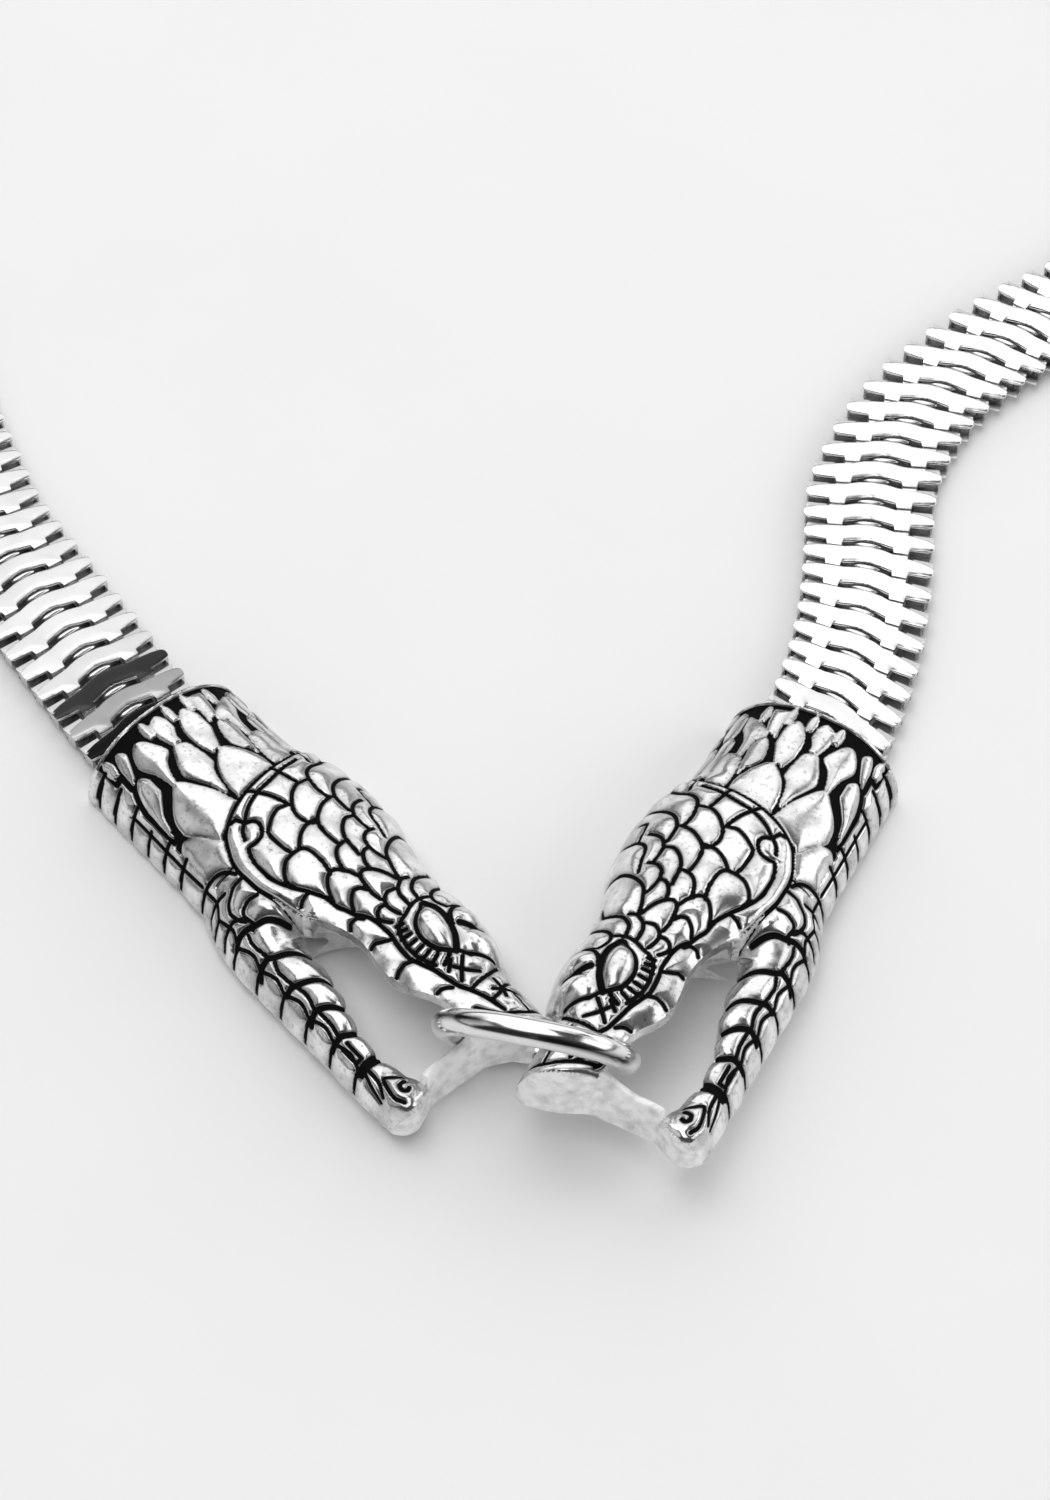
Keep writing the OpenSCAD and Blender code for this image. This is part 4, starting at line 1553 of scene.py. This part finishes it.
    def cup(self, lower: Points, upper: Points) -> list[Points]:
        """Rim, hollow and end wall of the neck cup.

        Args:
            lower: The lower patch in relief.
            upper: The upper patch in relief.

        Returns:
            Its strips.
        """
        outline = np.concatenate([lower[0], upper[0, 1:]])
        count = len(outline)
        mouth, end = self.cup_curve(self.rear, count), self.cup_curve(self.cup_deep, count)
        floor = end.copy()
        floor[:, 2] = 0
        return [np.stack(pair, axis=1) for pair in ((outline, mouth), (mouth, end), (end, floor))]


@dataclass
class Link:
    """One bent link of the flat chain, drawn with x toward the head from the middle of its plate."""

    top: float = 2.35
    sheet: float = 0.45
    crown: float = 0.10
    middle: float = 1.2
    tab_y: float = 3.8
    tab_width: float = 1.6
    edge: float = 0.11
    edge_cuts: int = 2
    sharp: float = 50.0
    # The plate's points from its rear to its front, and how its ends droop
    across: tuple = (0.0, 0.3, 0.7, 1.0)
    droop: float = 0.08
    droop_from: float = 6.4
    # A face whose normal rises at least this much belongs to the flat top
    level: float = 0.97
    # Corners of a tab nearer than this are merged
    seam: float = 1e-4
    # Half of the plate: [y, rear edge, front edge]
    plate: tuple = (
        (0, -0.5, 1.82), (0.25, -0.49, 1.72), (1.5, -0.36, 2.0), (2.6, -0.05, 2.28), (2.84, 0.03, 2.34),
        (2.96, 0.07, 3.08), (4.64, 0.25, 3.08), (4.76, 0.27, 2.36), (6, 0.45, 2.3), (7.0, 0.7, 2.15),
        (7.3, 0.85, 2.05), (7.45, 1.0, 1.9),
    )
    # Side of a tab, which dips under the next plate and turns back round its bar: [x, z]
    tab: tuple = (
        (2.1, 1.6), (2.1, 1.92), (2.9, 1.92), (3.04, 1.8), (3.2, 1.7), (4.7, 1.6),
        (4.75, 0.15), (4.6, 0), (3.2, 0), (3.2, 0.35), (4.4, 0.35), (4.4, 1.35), (2.6, 1.35),
    )
    # Bar, folded sides and dark sheets of painted shade under the gaps: [x from, x to, y from, y to, z
    # from, z to, painted shade]
    bars: tuple = (
        (0.25, 0.55, -7.25, 7.25, 0.6, 1.1, 0.8),
        (0.25, 2.0, 6.9, 7.25, 0.6, 1.95, 0.3),
        (0.25, 2.0, -7.25, -6.9, 0.6, 1.95, 0.3),
        (1.4, 3.2, -2.9, 2.9, 0.95, 1.1, 0.22),
        (1.6, 3.4, 4.8, 7.1, 0.95, 1.1, 0.25),
        (1.6, 3.4, -7.1, -4.8, 0.95, 1.1, 0.25),
        (-0.4, 1.2, 4.9, 7.2, 1.45, 1.6, 0.4),
        (-0.4, 1.2, -7.2, -4.9, 1.45, 1.6, 0.4),
    )
    # Bright rounded lip in the gap between the tabs: middle and half sizes
    lip: tuple = ((2.2, 0, 1.75), (0.34, 1.5, 0.3))
    lip_grid: tuple = (16, 8)

    def make_plate(self) -> bpy.types.Object:
        """Shape a grid to the plate, thicken it and round its edges.

        Returns:
            The plate, with its flat top marked.
        """
        rows = [(-y, rear, front) for y, rear, front in reversed(self.plate[1:])] + list(self.plate)
        share = np.array(self.across)
        places = []
        for y, rear, front in rows:
            drop = self.crown * (2 * share - 1) ** 2 + self.droop * max(0.0, abs(y) - self.droop_from)
            x = rear + share * (front - rear)
            places.append(np.column_stack([x, np.full(len(share), y), self.top - drop]))
        piece = Bench.sheet("plate", np.array(places))
        thick = piece.modifiers.new("sheet", "SOLIDIFY")
        thick.thickness = self.sheet
        thick.offset = 1.0 if piece.data.polygons[0].normal.z < 0 else -1.0
        rounded = piece.modifiers.new("edge", "BEVEL")
        rounded.width = self.edge
        rounded.segments = self.edge_cuts
        rounded.limit_method = "ANGLE"
        rounded.angle_limit = math.radians(self.sharp)
        for name in ("sheet", "edge"):
            bpy.ops.object.modifier_apply(modifier=name)
        flat = np.zeros(len(piece.data.vertices))
        for face in piece.data.polygons:
            if face.normal.z > self.level:
                flat[list(face.vertices)] = 1
        Bench.keep_number(piece, "flat", flat)
        Bench.keep_number(piece, "painted_dark", np.zeros(len(flat)))
        return piece

    def make_tab(self, y: float) -> bpy.types.Object:
        """Bend a strip to the side of a tab and close its two edges.

        Args:
            y: Middle of the tab.

        Returns:
            The tab.
        """
        outline = np.array([*self.tab, self.tab[0]])
        half = self.tab_width / 2
        sides = [
            np.column_stack([outline[:, 0], np.full(len(outline), y + share * half), outline[:, 1]])
            for share in (-1, 1)
        ]
        piece = Bench.sheet("tab", np.stack(sides, axis=1))
        Bench.heal(self.seam, holes=len(outline))
        return piece

    def make_bar(self, box: tuple[float, ...]) -> bpy.types.Object:
        """Add one bar, folded side or dark sheet of painted shade.

        Args:
            box: One row of the table of bars.

        Returns:
            The bar.
        """
        low, high = Vector(box[0:6:2]), Vector(box[1:6:2])
        Bench.clear()
        bpy.ops.mesh.primitive_cube_add(size=1, location=(low + high) / 2, scale=high - low)
        piece = bpy.context.active_object
        Bench.settle(piece)
        # Each box is darkened by its painted shade
        Bench.keep_number(piece, "painted_dark", np.full(len(piece.data.vertices), box[6]))
        return piece

    def make_lip(self) -> bpy.types.Object:
        """Add the rounded lip between the tabs.

        Returns:
            The lip.
        """
        Bench.clear()
        segments, rings = self.lip_grid
        bpy.ops.mesh.primitive_uv_sphere_add(
            segments=segments, ring_count=rings, radius=1, location=self.lip[0], scale=self.lip[1]
        )
        piece = bpy.context.active_object
        Bench.settle(piece)
        return piece

    def build(self, meeting: bool = False) -> bpy.types.Object:
        """Make the link in drawn units.

        Args:
            meeting: Whether it joins two sides, with tabs at both edges and no bar.

        Returns:
            The link, with its origin in the middle of its plate.
        """
        parts = [self.make_plate()] + [self.make_tab(side * self.tab_y) for side in (-1, 1)]
        if meeting:
            half_turn = Matrix.Rotation(math.pi, 4, "Z")
            for side in (-1, 1):
                tab = self.make_tab(side * self.tab_y)
                tab.data.transform(Matrix.Translation((2 * self.middle, 0, 0)) @ half_turn)
                parts.append(tab)
        else:
            parts += [self.make_bar(box) for box in self.bars] + [self.make_lip()]
        link = Bench.join(parts, "link")
        link.data.transform(Matrix.Translation((-self.middle, 0, 0)))
        return link


# Route of each side from the cup backwards: [link, heading of the route, heading of the link, step]
RIGHT_ROUTE = (
    (0, 67, 60, 3), (1, 68.5, 56.5, 3.05), (2, 70, 53, 3.2), (6, 81, 66, 3.25), (10, 88, 81, 3.25),
    (11, 83.5, 84, 3.3), (13, 69.5, 86, 3.4), (15, 61.5, 84, 3.5), (17, 49.5, 77, 3.6), (20, 39.5, 67, 3.6),
    (23, 32, 56, 3.5), (28, 48, 54, 3.3), (38.75, 100, 100, 3.3), (56, 176.3, 176.3, 3.3),
    (72, 176.3, 176.3, 3.3),
)
LEFT_ROUTE = (
    (0, 130, 131.7, 3.3), (3, 126, 129.5, 3.3), (10, 126, 126, 3.3), (12, 115, 119, 3.3),
    (17, 113, 113, 3.3), (20, 104, 104, 3.3), (32, 104, 104, 3.3), (58, -3.7, -3.7, 3.3),
    (69, -3.7, -3.7, 3.3),
)


@dataclass(frozen=True)
class Chain:
    """One side of the flat chain.

    Painted dark reflections on the flat tops: one for each of the first links, then one for the others.
    """

    side: Side
    start: tuple[float, float]
    route: tuple[tuple[float, ...], ...]
    links: int
    meets: bool
    first_painted_darks: tuple[float, ...]
    painted_dark: float
    crease: float = 35.0

    def tint(self, number: int, mesh: bpy.types.Mesh) -> None:
        """Paint dark reflections on the flat top of one link.

        Args:
            number: Its number from the head.
            mesh: Its mesh.
        """
        dark = self.first_painted_darks[number] if number < len(self.first_painted_darks) else self.painted_dark
        flat, painted_dark = np.empty(len(mesh.vertices)), np.empty(len(mesh.vertices))
        mesh.attributes["flat"].data.foreach_get("value", flat)
        mesh.attributes["painted_dark"].data.foreach_get("value", painted_dark)
        mesh.attributes["painted_dark"].data.foreach_set("value", np.maximum(painted_dark, flat * dark))

    def places(self) -> list[tuple[float, float, float]]:
        """Walk along the route.

        Returns:
            Place and heading of each link, and of the one that meets the other side.
        """
        table = np.array(self.route, float)
        x, y = self.start
        found = []
        for number in range(self.links + int(self.meets)):
            heading, turned, step = (
                float(np.interp(number, table[:, 0], table[:, column])) for column in (1, 2, 3)
            )
            found.append((x, y, turned))
            x += step * math.cos(math.radians(heading))
            y += step * math.sin(math.radians(heading))
        return found

    def build(self, link: bpy.types.Object, meeting: bpy.types.Object) -> bpy.types.Object:
        """Copy the link along the route and join the copies.

        Args:
            link: The plain link.
            meeting: The link that joins two sides.

        Returns:
            The side's chain.
        """
        copies = []
        places = self.places()
        for number, (x, y, heading) in enumerate(places):
            source = meeting if self.meets and number == len(places) - 1 else link
            copy = source.copy()
            copy.data = source.data.copy()
            self.tint(number, copy.data)
            bpy.context.collection.objects.link(copy)
            turn = Matrix.Rotation(math.radians(heading + 180), 4, "Z")
            shift = Matrix.Translation((x - LOOP_MIDDLE[0], y - LOOP_MIDDLE[1], 0))
            copy.data.transform(Matrix.Scale(UNIT, 4) @ shift @ turn)
            copies.append(copy)
        chain = Bench.join(copies, f"chain_{self.side.name.lower()}_links")
        Bench.smooth(chain, self.crease)
        return chain


# Last two numbers of each side: painted dark reflections on the flat tops of the first links and of the
# others
CHAINS = (
    Chain(Side.LEFT, (-39.4, -1.45), LEFT_ROUTE, 68, True, (1.0, 1.0, 0.62, 0.97, 0.3), 0.22),
    Chain(Side.RIGHT, (31.2, -1.05), RIGHT_ROUTE, 72, False, (0.4, 0.3, 0.1), 0.0),
)
LINK_PLATING = PlatedSteel("link_plating", tint=0.86, gloss=0.18, wave=0.4)


@dataclass(frozen=True)
class Softbox:
    """Large soft light: its name, place and size in metres, where it points, and its power."""

    name: str
    place: tuple[float, float, float]
    size: tuple[float, float]
    power: float
    aim: tuple[float, float, float] = (0.0, -0.04, 0.0)
    mirrored: bool = True

    def hang(self) -> None:
        """Add the light and turn it to what it lights."""
        lamp = bpy.data.lights.new(self.name, "AREA")
        lamp.shape = "RECTANGLE"
        lamp.size, lamp.size_y = self.size
        lamp.energy = self.power
        lit = bpy.data.objects.new(self.name, lamp)
        bpy.context.collection.objects.link(lit)
        lit.location = self.place
        lit.visible_glossy = self.mirrored
        lit.visible_camera = False
        lit.rotation_euler = (Vector(self.aim) - Vector(self.place)).to_track_quat("-Z", "Y").to_euler()


@dataclass
class Studio:
    """Pale table, soft lights and the camera of the picture."""

    half: float = 1.2
    # The table lies this far under the object, in metres, and is cut this often
    sunk: float = 0.00005
    cuts: int = 8
    # Camera: picture and focal length in pixels, angles in degrees, distance in drawn units, film in mm
    picture: tuple[int, int] = (1050, 1500)
    focal: float = 3584.9
    pitch: float = 52.637
    roll: float = -1.300
    distance: float = 389.6
    film: float = 36.0
    nearest: float = 0.01
    # Brightness of the room from one side to the other
    sky: tuple[float, float] = (0.06, 0.07)
    span: tuple[float, float] = (-0.5, 0.5)
    softboxes: tuple[Softbox, ...] = (
        Softbox("back_box", (-0.1, 0.62, 0.62), (1.65, 1.1), 7.3),
        Softbox("low_box", (0.95, 0.6, 0.3), (0.8, 0.5), 1.8),
        Softbox("top_box", (-0.15, -0.1, 0.85), (0.9, 0.6), 2.9),
        Softbox("left_box", (-0.8, -0.1, 0.4), (0.7, 0.6), 0.7),
        Softbox("right_box", (0.8, -0.05, 0.4), (0.9, 0.6), 2.5),
        Softbox("front_box", (0.1, -0.9, 0.4), (1.1, 0.5), 2.6, mirrored=False),
    )

    def lay_table(self) -> bpy.types.Object:
        """Lay the pale table top.

        Returns:
            The table top.
        """
        Bench.clear()
        bpy.ops.mesh.primitive_plane_add(size=2 * self.half, location=(0, 0, -self.sunk))
        table = bpy.context.active_object
        table.name = "table_top"
        bpy.ops.object.mode_set(mode="EDIT")
        bpy.ops.mesh.select_all(action="SELECT")
        bpy.ops.mesh.subdivide(number_cuts=self.cuts)
        bpy.ops.object.mode_set(mode="OBJECT")
        Bench.settle(table)
        table.data.materials.append(TablePaper().make())
        return table

    def light(self) -> None:
        """Hang the softboxes and set the room's own light."""
        for box in self.softboxes:
            box.hang()
        world = bpy.data.worlds.new("studio_room")
        room = Paint(world, "Background")
        place = room.node("ShaderNodeTexCoord", {}, {}, "Generated")
        across = room.node("ShaderNodeSeparateXYZ", {}, {0: place})
        span = dict(enumerate((across, *self.span, *self.sky)))
        room.set("Color", room.node("ShaderNodeMapRange", {}, span))
        bpy.context.scene.world = world
        bpy.context.scene.view_settings.view_transform = "Standard"

    def aim_camera(self) -> None:
        """Place the camera at the picture's angle."""
        pitch, roll = math.radians(self.pitch), math.radians(self.roll)
        ahead = Vector((0, math.cos(pitch), -math.sin(pitch)))
        right = Vector((1, 0, 0))
        up = Vector((0, math.sin(pitch), math.cos(pitch)))
        side = right * math.cos(roll) - up * math.sin(roll)
        head = right * math.sin(roll) + up * math.cos(roll)
        target = Vector((-LOOP_MIDDLE[0], -LOOP_MIDDLE[1], 0)) * UNIT
        place = target - ahead * self.distance * UNIT
        lens = bpy.data.cameras.new("picture_camera")
        lens.sensor_fit = "VERTICAL"
        lens.sensor_height = self.film
        lens.lens = self.focal / self.picture[1] * self.film
        lens.clip_start = self.nearest
        camera = bpy.data.objects.new("picture_camera", lens)
        bpy.context.collection.objects.link(camera)
        turn = Matrix((side, head, -ahead)).transposed().to_4x4()
        camera.matrix_world = Matrix.Translation(place) @ turn
        bpy.context.scene.camera = camera


def fit(piece: bpy.types.Object, node: str) -> None:
    """Let a piece ride on the object in place of a node.

    Args:
        piece: The finished piece.
        node: Name of the node.
    """
    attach(piece, BODY)
    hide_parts(node)
    LOG.info("%s: %d faces, in place of %s", piece.name, len(piece.data.polygons), node)


def main() -> None:
    """Build the choker, dress it and set the studio round it."""
    logging.basicConfig(level=logging.INFO)
    studio = Studio()
    studio.aim_camera()
    ring = Ring()
    silver = CastSilver().make()
    for stand in STANDS:
        head = Head(stand, ring).build()
        head.data.materials.append(silver)
        fit(head, f"head_{stand.side.name.lower()}")
    fit(ring.build(), "ring")
    plating = LINK_PLATING.make()
    link, meeting = Link().build(), Link().build(meeting=True)
    for chain in CHAINS:
        piece = chain.build(link, meeting)
        piece.data.materials.append(plating)
        fit(piece, f"chain_{chain.side.name.lower()}")
    for pattern in (link, meeting):
        bpy.data.objects.remove(pattern)
    studio.lay_table()
    studio.light()


if __name__ == "__main__":
    main()
